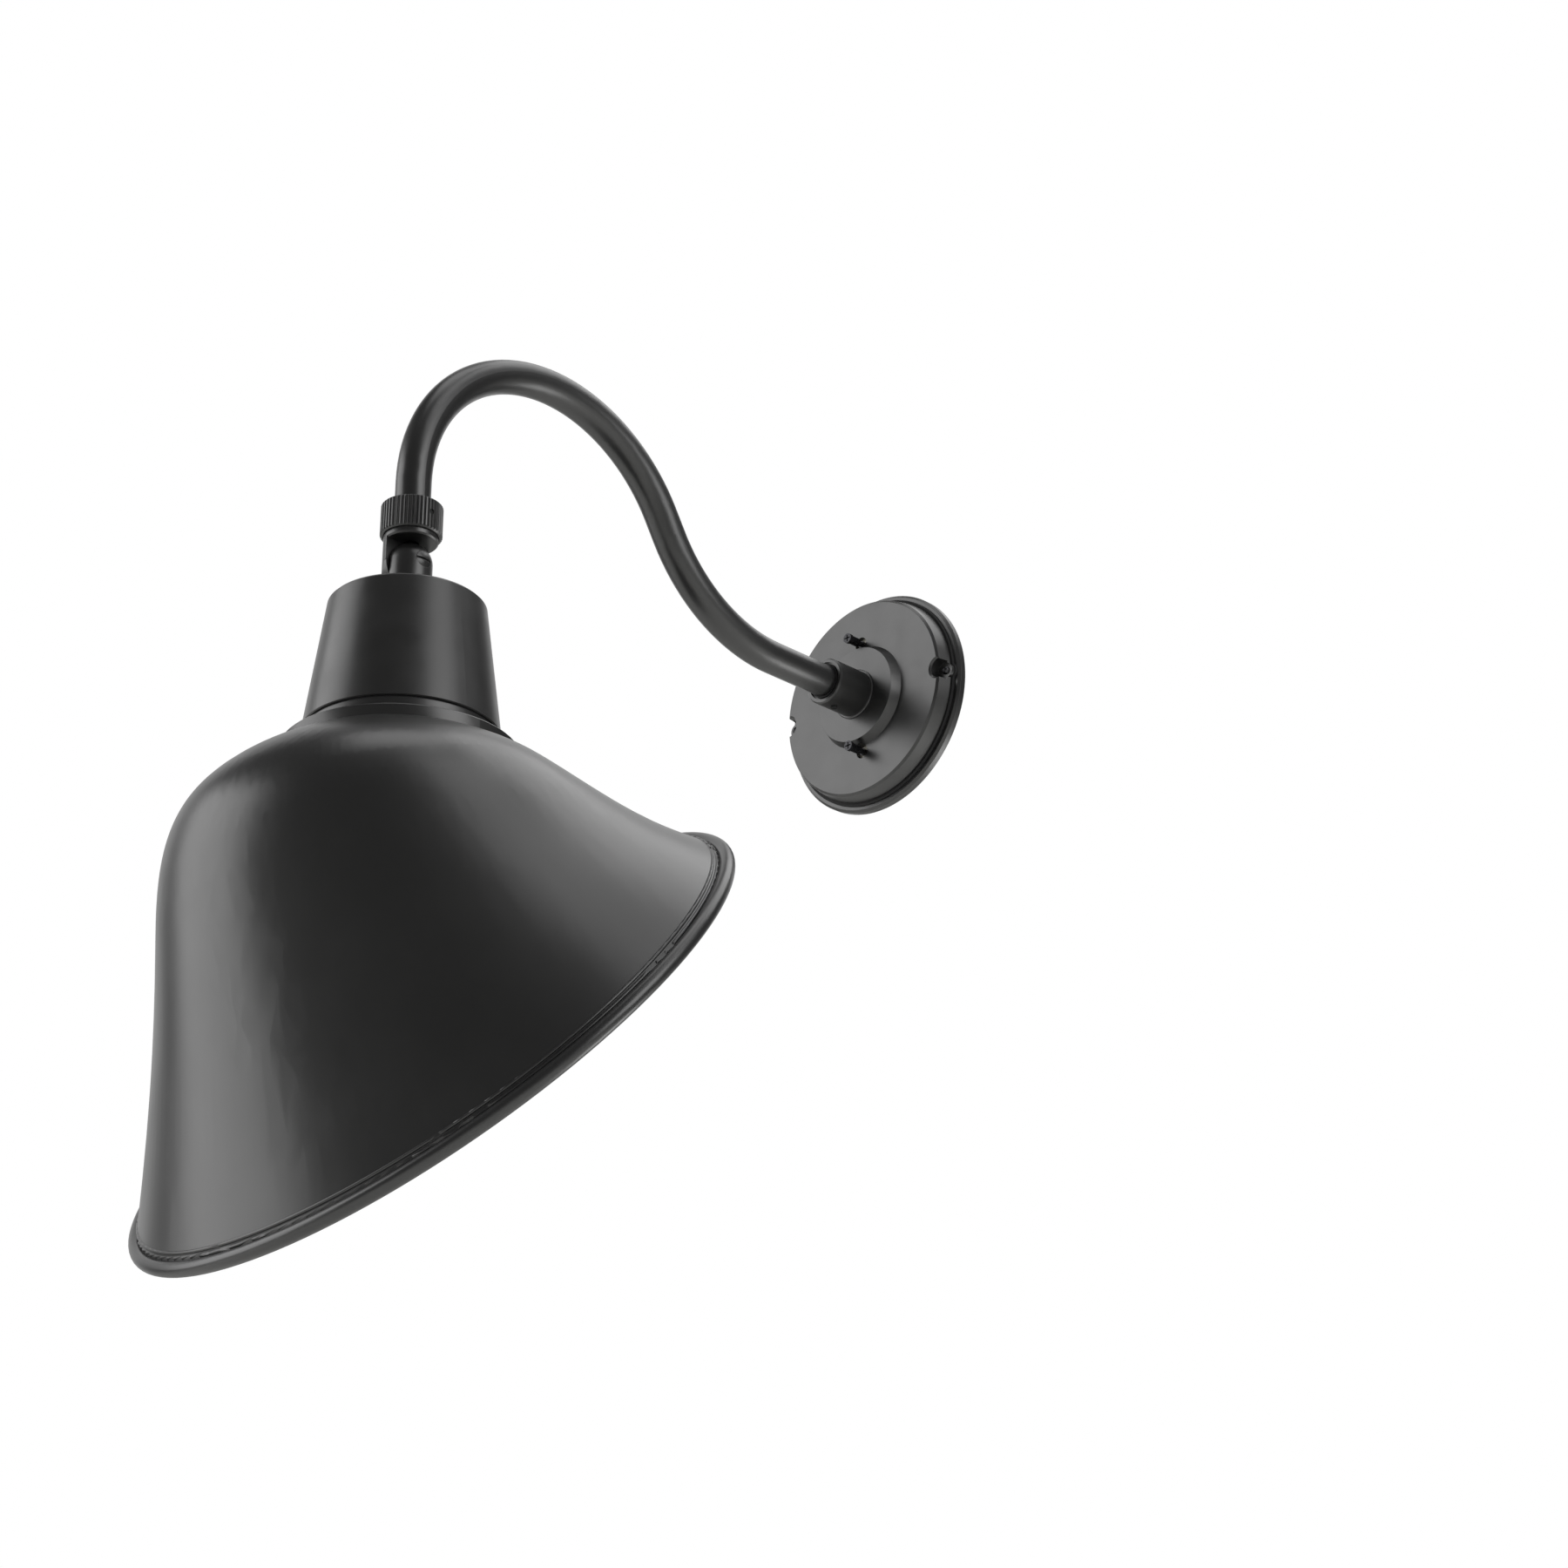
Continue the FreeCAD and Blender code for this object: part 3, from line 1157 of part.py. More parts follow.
def shade_lock():
    """Dome-headed screw through the shade's top, with a nut inside."""

    def at(z):
        return on_circle(dim.lock_screw_ring, dim.lock_screw_angle, z)

    head = dome(dim.lock_head_radius, at(shade_top))
    shank = cylinder(dim.lock_screw_radius, dim.lock_screw_length, at(shade_top - dim.lock_screw_length))
    node("shade_lock_screw", fuse(head, shank))
    nut_bottom = shade_under - dim.lock_nut_depth
    nut = hexagon(dim.lock_nut_flats, dim.lock_nut_depth, at(nut_bottom))
    bore = cylinder(dim.lock_screw_radius + dim.fit_gap, dim.lock_nut_depth + 2 * CUT_PAST,
                    at(nut_bottom - CUT_PAST))
    node("shade_lock_nut", cut(nut, bore))


PIECES = (
    wall_plate, cover_seal, wall_cover, cover_screws, mounting_screws, ground_screw,
    arm_hub, gooseneck_arm, arm_ferrule,
    lock_ring, swivel_parts, upper_knuckle, hinge_hardware, lower_knuckle,
    neck_housing, heat_sink, led_driver, led_board, lens_parts,
    bell_shade, shade_lock,
)
for make in PIECES:
    make()
doc.recompute()

failed = [obj.Label for obj in doc.Objects if {"Invalid", "Error"} & set(obj.State)]
if failed:
    raise SystemExit(f"objects failed: {failed}")
for piece in nodes:
    if piece.Shape.isNull() or not piece.Shape.isValid():
        raise SystemExit(f"bad shape: {piece.Label}")

arm_length = sum(edge.Length for edge in doc.getObject("arm_path").Shape.Edges)
wall_section = math.pi * (SIZES["tube_radius"] ** 2 - (SIZES["tube_radius"] - SIZES["tube_wall"]) ** 2)
arm_volume = doc.getObject("arm_body").Shape.Volume
print(f"arm: swept {arm_volume:.0f} mm3, section times length {wall_section * arm_length:.0f}")

os.makedirs("parts", exist_ok=True)
for piece in nodes:
    piece.Shape.exportStep(f"parts/{piece.Label}.step")
print(f"{len(nodes)} pieces written")
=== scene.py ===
"""Looks of a gooseneck wall sconce with a tilted bell shade.

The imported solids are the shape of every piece. This script dresses each of them in the finish of
the real part, stands the studio round the lamp and sets the camera at the photograph's angle.
Lengths are in metres in the solids' own frame: the wall is the plane Y = 0, the lamp reaches out
along -Y, and +Z is up.
"""

import logging
import math
from collections.abc import Sequence
from dataclasses import dataclass, field
from enum import Enum

import bpy
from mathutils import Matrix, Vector


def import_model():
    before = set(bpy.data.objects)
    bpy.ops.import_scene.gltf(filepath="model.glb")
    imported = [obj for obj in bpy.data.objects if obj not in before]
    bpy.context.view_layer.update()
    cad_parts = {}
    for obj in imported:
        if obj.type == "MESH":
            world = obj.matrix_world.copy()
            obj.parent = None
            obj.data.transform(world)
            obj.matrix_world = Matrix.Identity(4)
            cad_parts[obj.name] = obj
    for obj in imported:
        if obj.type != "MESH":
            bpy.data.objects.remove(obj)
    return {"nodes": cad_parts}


log = logging.getLogger("sconce")

MM = 0.001
WHITE = "#ffffff"

# Shading of the meshes: faces that meet at less than this angle are shaded as one.
SMOOTH_ANGLE_DEG = 32.0

# Patches of colour and gloss: layers of the noise, weight of the finer ones, and the part of the
# noise's range that the colour and the gloss follow.
PATCH_DETAIL, PATCH_ROUGHNESS = 3.0, 0.55
COLOUR_SPAN, GLOSS_SPAN = (0.35, 0.65), (0.3, 0.7)
LEAST_ROUGHNESS = 0.02

# Weight of the finer layers in the relief, samples for rounded edges, depth of scattered light.
GRAIN_ROUGHNESS = 0.5
EDGE_SAMPLES = 6
SCATTER_MM = 2.0

# The mix node's colour sockets by number, because its number and colour sockets share their names.
MIX_FIRST, MIX_SECOND, MIX_RESULT = 6, 7, 2

# The camera's sensor and the range of distances it sees, in millimetres and metres.
SENSOR_MM = 36.0
NEAR_CLIP, FAR_CLIP = 0.05, 100.0


def linear(code: str) -> tuple[float, float, float, float]:
    """Turn an sRGB hex colour into the linear values that shaders take.

    Args:
        code: six hex digits after a #.

    Returns:
        Red, green, blue and a full alpha.
    """
    parts = [int(code.lstrip("#")[i:i + 2], 16) / 255 for i in (0, 2, 4)]
    red, green, blue = (p / 12.92 if p <= 0.04045 else ((p + 0.055) / 1.055) ** 2.4 for p in parts)
    return red, green, blue, 1.0


def add_node(tree: bpy.types.NodeTree, kind: str,
             links: dict[str | int, bpy.types.NodeSocket] | None = None,
             values: dict[str | int, float | Sequence[float]] | None = None,
             **settings: str | int) -> bpy.types.Node:
    """Add a shader node with its settings, its socket values and the links into it.

    Args:
        tree: the node tree that gets the node.
        kind: Blender's type name of the node.
        links: input socket name or number to the output socket that feeds it.
        values: input socket name or number to a plain value.
        **settings: properties of the node itself.

    Returns:
        The new node.
    """
    node = tree.nodes.new(kind)
    for name, value in settings.items():
        setattr(node, name, value)
    for name, value in (values or {}).items():
        node.inputs[name].default_value = value
    for name, source in (links or {}).items():
        tree.links.new(source, node.inputs[name])
    return node


def join(tree: bpy.types.NodeTree, operation: str, first: bpy.types.NodeSocket,
         second: bpy.types.NodeSocket | float) -> bpy.types.NodeSocket:
    """Work out one value from a socket and either another socket or a plain number.

    Args:
        tree: the node tree that gets the node.
        operation: Blender's name of the operation.
        first: the first input.
        second: the second input.

    Returns:
        The socket that holds the result.
    """
    if isinstance(second, float):
        node = add_node(tree, "ShaderNodeMath", {0: first}, {1: second}, operation=operation)
    else:
        node = add_node(tree, "ShaderNodeMath", {0: first, 1: second}, operation=operation)
    return node.outputs["Value"]


@dataclass(frozen=True)
class Grain:
    """A fine relief in a surface.

    Attributes:
        size_mm: width of one bump.
        depth_mm: height of one bump.
        detail: how many finer layers lie on the main one.
        stretch: how much longer the bumps are along each axis.
    """

    size_mm: float
    depth_mm: float
    detail: float = 2.0
    stretch: tuple[float, float, float] = (1.0, 1.0, 1.0)


@dataclass(frozen=True)
class Finish:
    """One real surface: what it is made of and how it was made.

    Attributes:
        name: plain name of the material.
        colour: sRGB hex of the surface.
        second: sRGB hex that the surface drifts towards in patches.
        roughness: mean roughness.
        roughness_drift: how far the roughness moves either way.
        metallic: 1 for bare metal, 0 for coats and plastics.
        ior: index of refraction; metals keep the default.
        patch_mm: size of the colour and gloss patches.
        grain: fine relief, or None where the surface is smooth.
        coat: share of a clear layer on top.
        coat_roughness: roughness of that layer.
        subsurface: share of light that scatters inside.
        edge_mm: radius that the coat or the mould leaves on sharp edges, 0 for none.
    """

    name: str
    colour: str
    second: str
    roughness: float
    roughness_drift: float = 0.04
    metallic: float = 0.0
    ior: float = 1.5
    patch_mm: float = 30.0
    grain: Grain | None = None
    coat: float = 0.0
    coat_roughness: float = 0.1
    subsurface: float = 0.0
    edge_mm: float = 0.0

    def material(self) -> bpy.types.Material:
        """Build the material once, and hand back the same one after that.

        Returns:
            The material of this finish.
        """
        made = bpy.data.materials.get(self.name)
        if made:
            return made
        made = bpy.data.materials.new(self.name)
        made.use_nodes = True
        tree = made.node_tree
        shader = tree.nodes["Principled BSDF"]
        place = add_node(tree, "ShaderNodeTexCoord").outputs["Object"]
        self._tone(tree, shader, place)
        self._relief(tree, shader, place)
        shader.inputs["Metallic"].default_value = self.metallic
        shader.inputs["IOR"].default_value = self.ior
        shader.inputs["Coat Weight"].default_value = self.coat
        shader.inputs["Coat Roughness"].default_value = self.coat_roughness
        shader.inputs["Subsurface Weight"].default_value = self.subsurface
        shader.inputs["Subsurface Radius"].default_value = (SCATTER_MM * MM,) * 3
        return made

    def _tone(self, tree: bpy.types.NodeTree, shader: bpy.types.Node,
              place: bpy.types.NodeSocket) -> None:
        """Let colour and roughness drift a little from place to place.

        Args:
            tree: the material's node tree.
            shader: its Principled node.
            place: the coordinates that carry the pattern.
        """
        patches = add_node(tree, "ShaderNodeTexNoise", {"Vector": place},
                           {"Scale": 1 / (self.patch_mm * MM), "Detail": PATCH_DETAIL,
                            "Roughness": PATCH_ROUGHNESS})
        blend = add_node(tree, "ShaderNodeMapRange", {"Value": patches.outputs["Fac"]},
                         {"From Min": COLOUR_SPAN[0], "From Max": COLOUR_SPAN[1]})
        colour = add_node(tree, "ShaderNodeMix", {"Factor": blend.outputs["Result"]},
                          data_type="RGBA")
        colour.inputs[MIX_FIRST].default_value = linear(self.colour)
        colour.inputs[MIX_SECOND].default_value = linear(self.second)
        tree.links.new(colour.outputs[MIX_RESULT], shader.inputs["Base Color"])
        smoothest = max(self.roughness - self.roughness_drift, LEAST_ROUGHNESS)
        gloss = add_node(tree, "ShaderNodeMapRange", {"Value": patches.outputs["Fac"]},
                         {"From Min": GLOSS_SPAN[0], "From Max": GLOSS_SPAN[1],
                          "To Min": smoothest, "To Max": self.roughness + self.roughness_drift})
        tree.links.new(gloss.outputs["Result"], shader.inputs["Roughness"])

    def _relief(self, tree: bpy.types.NodeTree, shader: bpy.types.Node,
                place: bpy.types.NodeSocket) -> None:
        """Round the sharp edges and raise the fine grain of the surface.

        Args:
            tree: the material's node tree.
            shader: its Principled node.
            place: the coordinates that carry the pattern.
        """
        edge = None
        if self.edge_mm:
            edge = add_node(tree, "ShaderNodeBevel", values={"Radius": self.edge_mm * MM},
                            samples=EDGE_SAMPLES).outputs["Normal"]
            tree.links.new(edge, shader.inputs["Normal"])
        if self.grain is None:
            return
        stretched = add_node(tree, "ShaderNodeMapping", {"Vector": place},
                             {"Scale": tuple(1 / s for s in self.grain.stretch)})
        bumps = add_node(tree, "ShaderNodeTexNoise", {"Vector": stretched.outputs["Vector"]},
                         {"Scale": 1 / (self.grain.size_mm * MM), "Detail": self.grain.detail,
                          "Roughness": GRAIN_ROUGHNESS})
        base = {"Height": bumps.outputs["Fac"]} | ({"Normal": edge} if edge else {})
        relief = add_node(tree, "ShaderNodeBump", base,
                          {"Strength": 1.0, "Distance": self.grain.depth_mm * MM})
        tree.links.new(relief.outputs["Normal"], shader.inputs["Normal"])


# Polyester powder coat on spun and bent steel, baked satin black: a dark surface with a broad soft
# sheen and a faint orange peel, 1 to 2 mm wide, which shows only close to. The index of refraction
# is above a real coat's 1.5, because the photograph's highlights on black are that strong.
POWDER_COAT = Finish("satin_black_powder_coat", "#131313", "#161616", roughness=0.33,
                     roughness_drift=0.02, ior=1.9, patch_mm=60.0,
                     grain=Grain(1.6, 0.006, detail=1.0))

# The same coat on die-cast zinc and aluminium: the casting under it is less even, so the sheen is
# a little rougher and the peel finer and a little deeper. Its sharp edges are slightly rounded.
COATED_CASTING = Finish("powder_coated_casting", "#141414", "#181818", roughness=0.34,
                        roughness_drift=0.03, ior=1.9, patch_mm=18.0,
                        grain=Grain(0.9, 0.008, detail=2.0), edge_mm=0.2)

# Black oxide on steel screws: thin, oily and dark, with much of the bare metal's sheen.
BLACK_OXIDE = Finish("black_oxide_steel", "#3e3e41", "#4a4a4c", roughness=0.36, metallic=0.9,
                     patch_mm=2.0, grain=Grain(0.25, 0.004))

# Phosphate on the small set screws: a dull, nearly black crust that holds oil.
PHOSPHATE = Finish("phosphated_steel", "#101011", "#161616", roughness=0.62, patch_mm=1.5,
                   grain=Grain(0.15, 0.006, detail=3.0))

# White polyester coat inside the shade: bright and smooth, so that it throws the light out.
WHITE_COAT = Finish("white_reflector_coat", "#eceae4", "#e6e4dd", roughness=0.34,
                    roughness_drift=0.03, patch_mm=50.0, grain=Grain(1.6, 0.005, detail=1.0))

# Bright zinc on steel nuts, washers and inner screws.
ZINC_PLATE = Finish("zinc_plated_steel", "#b9bbb8", "#c6c3b4", roughness=0.32, roughness_drift=0.08,
                    metallic=1.0, patch_mm=4.0, grain=Grain(0.4, 0.003))

# Turned brass of the earthing screw.
TURNED_BRASS = Finish("turned_brass", "#b9965a", "#a8824a", roughness=0.3, metallic=1.0,
                      patch_mm=3.0, grain=Grain(0.3, 0.004))

# Moulded EPDM rubber of the seals: dull and nearly black.
EPDM_RUBBER = Finish("moulded_epdm_rubber", "#161617", "#1c1c1d", roughness=0.72, patch_mm=8.0,
                     grain=Grain(0.3, 0.012, detail=3.0))

# Moulded nylon of the turning washers and the screws' keepers: milky and a little translucent.
NYLON = Finish("moulded_nylon", "#dcd8cb", "#d4d0c2", roughness=0.42, ior=1.53, patch_mm=6.0,
               subsurface=0.2)

# Moulded PBT case of the LED driver.
PBT_CASE = Finish("moulded_pbt_case", "#d9d9d5", "#d0d0cb", roughness=0.5, ior=1.57, patch_mm=12.0,
                  grain=Grain(0.3, 0.010, detail=3.0))

# White solder mask on the aluminium LED board.
SOLDER_MASK = Finish("white_solder_mask", "#e9ebe8", "#e1e4e0", roughness=0.3, patch_mm=10.0,
                     coat=0.3)

# Phosphor in silicone on each emitter: waxy yellow.
PHOSPHOR = Finish("silicone_phosphor", "#d9b23c", "#e2c052", roughness=0.45, patch_mm=1.5,
                  subsurface=0.25)

# Pressed and brightened aluminium of the reflector cone, with faint turning marks round it.
BRIGHT_ALUMINIUM = Finish("brightened_aluminium", "#d6d8da", "#cccfd2", roughness=0.18,
                          metallic=1.0, patch_mm=10.0,
                          grain=Grain(0.4, 0.003, stretch=(12.0, 12.0, 1.0)))

# Opal polycarbonate of the lens: white, smooth and glowing a little inside.
OPAL_POLYCARBONATE = Finish("opal_polycarbonate", "#eeeeea", "#e9e9e4", roughness=0.28, ior=1.585,
                            patch_mm=30.0, subsurface=0.35)


@dataclass
class SubAssembly:
    """Pieces that are put together at one bench.

    Attributes:
        nodes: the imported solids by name.
        finishes: node name to the finish it wears.
    """

    nodes: dict[str, bpy.types.Object]
    finishes: dict[str, Finish] = field(default_factory=dict)

    def dress(self) -> None:
        """Give every piece its finish and smooth its round faces."""
        for name, finish in self.finishes.items():
            piece = self.nodes[name]
            self._smooth(piece)
            piece.data.materials.clear()
            piece.data.materials.append(finish.material())
            log.info("%s wears %s", name, finish.name)

    def _smooth(self, piece: bpy.types.Object) -> None:
        """Shade round faces smooth and keep the edges between flat ones crisp.

        Args:
            piece: the object whose mesh is shaded.
        """
        mesh = piece.data
        mesh.polygons.foreach_set("use_smooth", [True] * len(mesh.polygons))
        mesh.set_sharp_from_angle(angle=math.radians(SMOOTH_ANGLE_DEG))
        even = piece.modifiers.new("even_shading", "WEIGHTED_NORMAL")
        even.keep_sharp = True


@dataclass
class WallCanopy(SubAssembly):
    """Plate, cover, seals and screws at the wall."""

    finishes: dict[str, Finish] = field(default_factory=lambda: {
        "wall_plate": COATED_CASTING,
        "wall_seal": EPDM_RUBBER,
        "cover_seal": EPDM_RUBBER,
        "wall_cover": COATED_CASTING,
        "cover_screws": BLACK_OXIDE,
        "mounting_screws": BLACK_OXIDE,
        "screw_retainers": NYLON,
        "ground_screw": TURNED_BRASS,
    })


@dataclass
class GooseneckArm(SubAssembly):
    """Hub, bent tube and ferrule."""

    finishes: dict[str, Finish] = field(default_factory=lambda: {
        "arm_hub": COATED_CASTING,
        "hub_seal": EPDM_RUBBER,
        "hub_set_screws": PHOSPHATE,
        "hub_washer": ZINC_PLATE,
        "hub_nut": ZINC_PLATE,
        "gooseneck_arm": POWDER_COAT,
        "arm_ferrule": COATED_CASTING,
    })


@dataclass
class SwivelKnuckle(SubAssembly):
    """Lock ring, turning disc and the hinge below it."""

    finishes: dict[str, Finish] = field(default_factory=lambda: {
        "lock_ring": COATED_CASTING,
        "ring_set_screw": PHOSPHATE,
        "swivel_washer": NYLON,
        "stem_clip": ZINC_PLATE,
        "upper_knuckle": COATED_CASTING,
        "hinge_screw": COATED_CASTING,
        "hinge_nut": BLACK_OXIDE,
        "hinge_washer": NYLON,
        "lower_knuckle": COATED_CASTING,
        "foot_seal": EPDM_RUBBER,
    })


@dataclass
class NeckHousing(SubAssembly):
    """Cast neck with the driver and the heat sink inside."""

    finishes: dict[str, Finish] = field(default_factory=lambda: {
        "neck_nut": ZINC_PLATE,
        "neck_housing": COATED_CASTING,
        "neck_seal": EPDM_RUBBER,
        "heat_sink": COATED_CASTING,
        "led_driver": PBT_CASE,
        "driver_screws": ZINC_PLATE,
    })


@dataclass
class LightEngine(SubAssembly):
    """LED board, reflector, lens and the bezel that holds them."""

    finishes: dict[str, Finish] = field(default_factory=lambda: {
        "led_board": SOLDER_MASK,
        "led_emitters": PHOSPHOR,
        "board_screws": ZINC_PLATE,
        "reflector": BRIGHT_ALUMINIUM,
        "lens": OPAL_POLYCARBONATE,
        "lens_seal": EPDM_RUBBER,
        "lens_bezel": WHITE_COAT,
        "bezel_screws": ZINC_PLATE,
    })


@dataclass
class BellShade(SubAssembly):
    """Spun shade: black outside, white inside up to the rolled bead.

    Attributes:
        axis_y: place of the neck's axis.
        top_z: height of the shade's top.
        mouth: centre of the mouth's circle.
        mouth_tilt_deg: lean of the mouth's circle.
        lip_depth: how far above the mouth's circle the ridged lip begins.
        lip_radius: radius of the lip's inner face.
        bead_start: how far below the mouth's circle the black bead begins.
        roof: thickness of the band at the top in which faces that look down are inside.
        collar: height of the band at the top that stays black.
        edge_on: cosine towards the spine up to which a face is edge-on, so neither in nor out.
        lip_out: least cosine between an inside face at the lip and the way out of the mouth.
        roof_up: greatest upward part of a face's direction that still looks down.
    """

    finishes: dict[str, Finish] = field(default_factory=lambda: {
        "bell_shade": POWDER_COAT,
        "shade_seal": EPDM_RUBBER,
        "shade_lock_screw": BLACK_OXIDE,
        "shade_lock_nut": ZINC_PLATE,
    })
    axis_y: float = -361.0 * MM
    top_z: float = -147.0 * MM
    mouth: tuple[float, float, float] = (0.0, -337.8 * MM, -293.0 * MM)
    mouth_tilt_deg: float = 49.4
    lip_depth: float = 16.0 * MM
    lip_radius: float = 171.0 * MM
    bead_start: float = 5.2 * MM
    roof: float = 2.2 * MM
    collar: float = 1.0 * MM
    edge_on: float = 0.05
    lip_out: float = -0.4
    roof_up: float = -0.5

    def dress(self) -> None:
        """Dress the pieces, then paint the inside of the bell white."""
        super().dress()
        mesh = self.nodes["bell_shade"].data
        mesh.materials.append(WHITE_COAT.material())
        count = 0
        for face in mesh.polygons:
            if self._is_inside(Vector(face.center), Vector(face.normal)):
                face.material_index = 1
                count += 1
        log.info("bell_shade has %d of %d faces in %s", count, len(mesh.polygons), WHITE_COAT.name)

    def _is_inside(self, centre: Vector, normal: Vector) -> bool:
        """Tell whether a face looks into the bell.

        Args:
            centre: middle of the face.
            normal: outward direction of the face.

        Returns:
            True where the face belongs to the inside, above the bead.
        """
        tilt = math.radians(self.mouth_tilt_deg)
        mouth, out = Vector(self.mouth), Vector((0, math.sin(tilt), -math.cos(tilt)))
        below = (centre - mouth).dot(out)
        if below > -self.lip_depth:
            across = centre - mouth - out * below
            faces_in = across.normalized().dot(normal) < self.edge_on
            reached = below < self.bead_start and across.length < self.lip_radius
            return faces_in and normal.dot(out) > self.lip_out and reached
        top = Vector((0, self.axis_y, self.top_z))
        low = mouth - top
        share = min(max((centre - top).dot(low) / low.length_squared, 0), 1)
        inward = top + low * share - centre
        if centre.z > self.top_z - self.roof and normal.z < self.roof_up:
            return True
        under_collar = centre.z < self.top_z - self.collar
        return inward.normalized().dot(normal) > self.edge_on and under_collar


class LightRole(Enum):
    """What each lamp of the studio does."""

    LEFT_WALL = "left_wall"
    FRONT_RIGHT = "front_right"
    HIGH_RIGHT = "high_right"
    LOW_RIGHT = "low_right"
    TOP = "top"
    BACK = "back"


@dataclass(frozen=True)
class SoftBox:
    """A flat studio lamp with an even face.

    Attributes:
        role: what the lamp does.
        bearing_deg: where it stands round the sconce, turned from the camera's side; minus is left.
        rise_deg: how high it stands, seen from the sconce.
        distance: how far off it stands, in metres.
        width: its width in metres.
        height: its height in metres.
        glow: brightness of its face, where 1 is white.
    """

    role: LightRole
    bearing_deg: float
    rise_deg: float
    distance: float
    width: float
    height: float
    glow: float

    def stand(self, middle: Vector, camera_bearing: float) -> None:
        """Stand the lamp in the scene, facing the sconce.

        Args:
            middle: the sconce's middle.
            camera_bearing: direction of the camera from there, in radians from +X.
        """
        data = bpy.data.lights.new(self.role.value, "AREA")
        data.shape = "RECTANGLE"
        data.size, data.size_y = self.width, self.height
        data.energy = math.pi * self.width * self.height * self.glow
        lamp = bpy.data.objects.new(self.role.value, data)
        bpy.context.scene.collection.objects.link(lamp)
        bearing, rise = camera_bearing + math.radians(self.bearing_deg), math.radians(self.rise_deg)
        out = Vector((math.cos(bearing) * math.cos(rise), math.sin(bearing) * math.cos(rise),
                      math.sin(rise)))
        lamp.location = middle + out * self.distance
        lamp.rotation_euler = (-out).to_track_quat("-Z", "Y").to_euler()
        lamp.visible_camera = False
        log.info("lamp %s stands %.1f m off", self.role.value, self.distance)


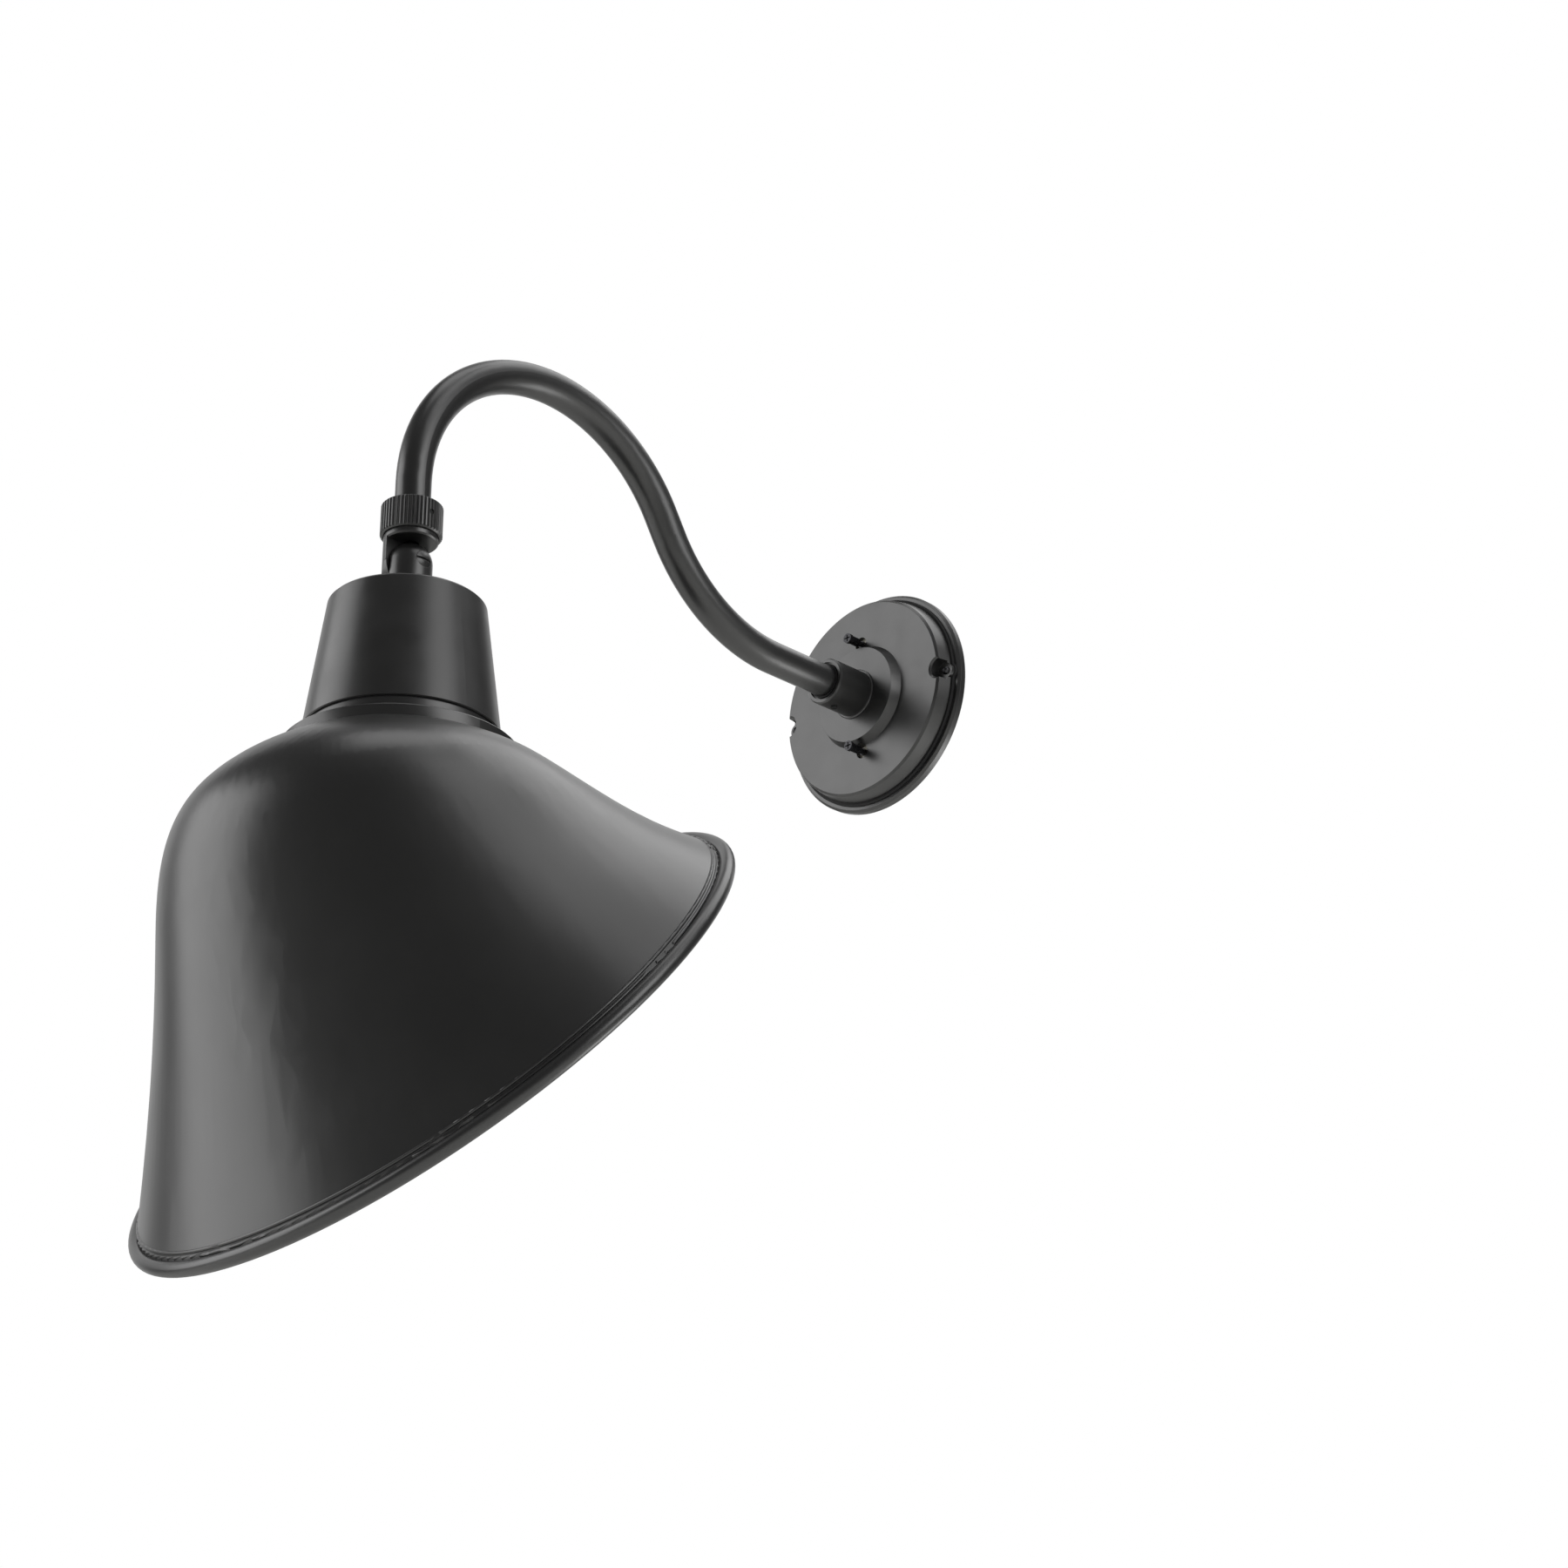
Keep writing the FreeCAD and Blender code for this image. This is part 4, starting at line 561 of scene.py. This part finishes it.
@dataclass
class Studio:
    """Floor, surroundings, lamps and camera.

    Attributes:
        floor_z: height of the floor.
        floor_half: half of the floor's width.
        floor_colour: sRGB hex of the paper on the floor.
        floor_roughness: roughness of that paper.
        fade_start: distance from the wall plate at which the paper starts to fade into white.
        fade_end: distance at which it has faded.
        fade_near: share of white in the paper near by.
        lens_mm: focal length of the lens.
        eye: the camera's place.
        heading_deg: direction of the look, turned from +Y towards -X.
        pitch_deg: how far the look points up.
        middle: the point that the lamps face.
        boxes: the lamps.
        air_glow: brightness of the air all round in gloss, where 1 is white.
        fill_glow: brightness of the air all round for dull surfaces, so that pale ones stay pale.
        wall_glow: brightness of the wall behind the sconce.
        wall_edge: cosine of the angle at which that wall begins.
        wall_core: cosine of the angle from which it has its full brightness.
    """

    floor_z: float = -1.02
    floor_half: float = 30.0
    floor_colour: str = "#ededea"
    floor_roughness: float = 0.9
    fade_start: float = 1.3
    fade_end: float = 3.4
    fade_near: float = 0.5
    lens_mm: float = 80.0
    eye: tuple[float, float, float] = (1.270706, -1.381668, -0.875167)
    heading_deg: float = 44.347
    pitch_deg: float = 23.720
    middle: tuple[float, float, float] = (0.0, -0.27, -0.16)
    air_glow: float = 0.11
    fill_glow: float = 0.36
    wall_glow: float = 0.85
    wall_edge: float = 0.70
    wall_core: float = 0.90
    boxes: tuple[SoftBox, ...] = (
        SoftBox(LightRole.LEFT_WALL, -97.0, 19.0, 3.6, 3.1, 2.9, 1.8),
        SoftBox(LightRole.FRONT_RIGHT, 49.0, 22.0, 3.6, 2.1, 2.2, 2.1),
        SoftBox(LightRole.HIGH_RIGHT, 44.0, 56.0, 3.6, 1.8, 1.4, 1.0),
        SoftBox(LightRole.LOW_RIGHT, 105.0, -30.0, 1.5, 0.7, 0.7, 2.6),
        SoftBox(LightRole.TOP, 0.0, 89.0, 3.6, 1.8, 1.8, 1.2),
        SoftBox(LightRole.BACK, 122.0, 60.0, 3.6, 2.8, 1.9, 1.6),
    )

    def build(self) -> None:
        """Lay the floor, set the surroundings and place lamps and camera."""
        self._floor()
        self._surroundings()
        middle = Vector(self.middle)
        towards = Vector(self.eye) - middle
        for box in self.boxes:
            box.stand(middle, math.atan2(towards.y, towards.x))
        self._camera()

    def _floor(self) -> None:
        """Lay a plain pale floor that keeps the lamp's shadow."""
        half = self.floor_half
        mesh = bpy.data.meshes.new("studio_floor")
        edge = [(x * half, y * half, self.floor_z) for x, y in ((-1, -1), (1, -1), (1, 1), (-1, 1))]
        mesh.from_pydata(edge, [], [(0, 1, 2, 3)])
        floor = bpy.data.objects.new("studio_floor", mesh)
        bpy.context.scene.collection.objects.link(floor)
        paper = bpy.data.materials.new("pale_paper")
        paper.use_nodes = True
        tree = paper.node_tree
        shader = tree.nodes["Principled BSDF"]
        shader.inputs["Roughness"].default_value = self.floor_roughness
        shader.inputs["Base Color"].default_value = linear(self.floor_colour)
        self._pale_distance(tree, shader)
        mesh.materials.append(paper)

    def _pale_distance(self, tree: bpy.types.NodeTree, paper: bpy.types.Node) -> None:
        """Let the paper fade into the white background for the camera, and keep the shadow near by.

        Args:
            tree: the floor material's node tree.
            paper: the shader of the paper.
        """
        place = add_node(tree, "ShaderNodeTexCoord").outputs["Object"]
        reach = add_node(tree, "ShaderNodeVectorMath", {0: place}, operation="LENGTH")
        fade = add_node(tree, "ShaderNodeMapRange", {"Value": reach.outputs["Value"]},
                        {"From Min": self.fade_start, "From Max": self.fade_end,
                         "To Min": self.fade_near, "To Max": 1.0}, interpolation_type="SMOOTHSTEP")
        path = add_node(tree, "ShaderNodeLightPath").outputs
        share = join(tree, "MULTIPLY", fade.outputs["Result"], path["Is Camera Ray"])
        white = add_node(tree, "ShaderNodeEmission",
                         values={"Color": linear(WHITE), "Strength": 1.0})
        shown = add_node(tree, "ShaderNodeMixShader", {0: share, 1: paper.outputs["BSDF"],
                                                       2: white.outputs["Emission"]})
        tree.links.new(shown.outputs["Shader"], tree.nodes["Material Output"].inputs["Surface"])

    def _surroundings(self) -> None:
        """Set white for camera and glass, a pale wall in dark air for gloss, a fill for the rest."""
        world = bpy.data.worlds.new("studio_air")
        bpy.context.scene.world = world
        world.use_nodes = True
        tree = world.node_tree
        tree.nodes.clear()
        path = add_node(tree, "ShaderNodeLightPath").outputs
        white = join(tree, "MAXIMUM", path["Is Camera Ray"], path["Is Transmission Ray"])
        wall = join(tree, "MULTIPLY", self._back_wall(tree), path["Is Glossy Ray"])
        fill = join(tree, "MULTIPLY", path["Is Diffuse Ray"], self.fill_glow)
        gloss = join(tree, "MAXIMUM", wall, self.air_glow)
        seen = join(tree, "MAXIMUM", join(tree, "MAXIMUM", gloss, fill), white)
        shown = add_node(tree, "ShaderNodeBackground", {"Strength": seen}, {"Color": linear(WHITE)})
        add_node(tree, "ShaderNodeOutputWorld", {"Surface": shown.outputs[0]})

    def _back_wall(self, tree: bpy.types.NodeTree) -> bpy.types.NodeSocket:
        """Work out the white wall behind the sconce, which shows as a thin line on round edges.

        Args:
            tree: the world's node tree.

        Returns:
            The socket that holds the brightness by direction.
        """
        towards = (Vector(self.eye) - Vector(self.middle)).normalized()
        direction = add_node(tree, "ShaderNodeTexCoord").outputs["Generated"]
        away = add_node(tree, "ShaderNodeVectorMath", {0: direction}, {1: -towards},
                        operation="DOT_PRODUCT")
        fade = add_node(tree, "ShaderNodeMapRange", {"Value": away.outputs["Value"]},
                        {"From Min": self.wall_edge, "From Max": self.wall_core, "To Min": 0.0,
                         "To Max": self.wall_glow}, interpolation_type="SMOOTHSTEP")
        return fade.outputs["Result"]

    def _camera(self) -> None:
        """Set the camera at the photograph's place and angle."""
        data = bpy.data.cameras.new("photo_camera")
        data.sensor_width = SENSOR_MM
        data.lens = self.lens_mm
        data.clip_start, data.clip_end = NEAR_CLIP, FAR_CLIP
        camera = bpy.data.objects.new("photo_camera", data)
        bpy.context.scene.collection.objects.link(camera)
        heading, pitch = math.radians(self.heading_deg), math.radians(self.pitch_deg)
        look = Vector((-math.sin(heading) * math.cos(pitch), math.cos(heading) * math.cos(pitch),
                       math.sin(pitch)))
        camera.location = self.eye
        camera.rotation_euler = look.to_track_quat("-Z", "Y").to_euler()
        bpy.context.scene.camera = camera


def main() -> None:
    """Load the solids, dress each sub-assembly and set the studio."""
    logging.basicConfig(level=logging.INFO, format="%(message)s")
    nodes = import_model()["nodes"]
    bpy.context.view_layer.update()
    bpy.context.scene.view_settings.view_transform = "Standard"
    assemblies = (WallCanopy(nodes), GooseneckArm(nodes), SwivelKnuckle(nodes), NeckHousing(nodes),
                  LightEngine(nodes), BellShade(nodes))
    for assembly in assemblies:
        assembly.dress()
        log.info("%s is dressed", type(assembly).__name__)
    Studio().build()


if __name__ == "__main__":
    main()
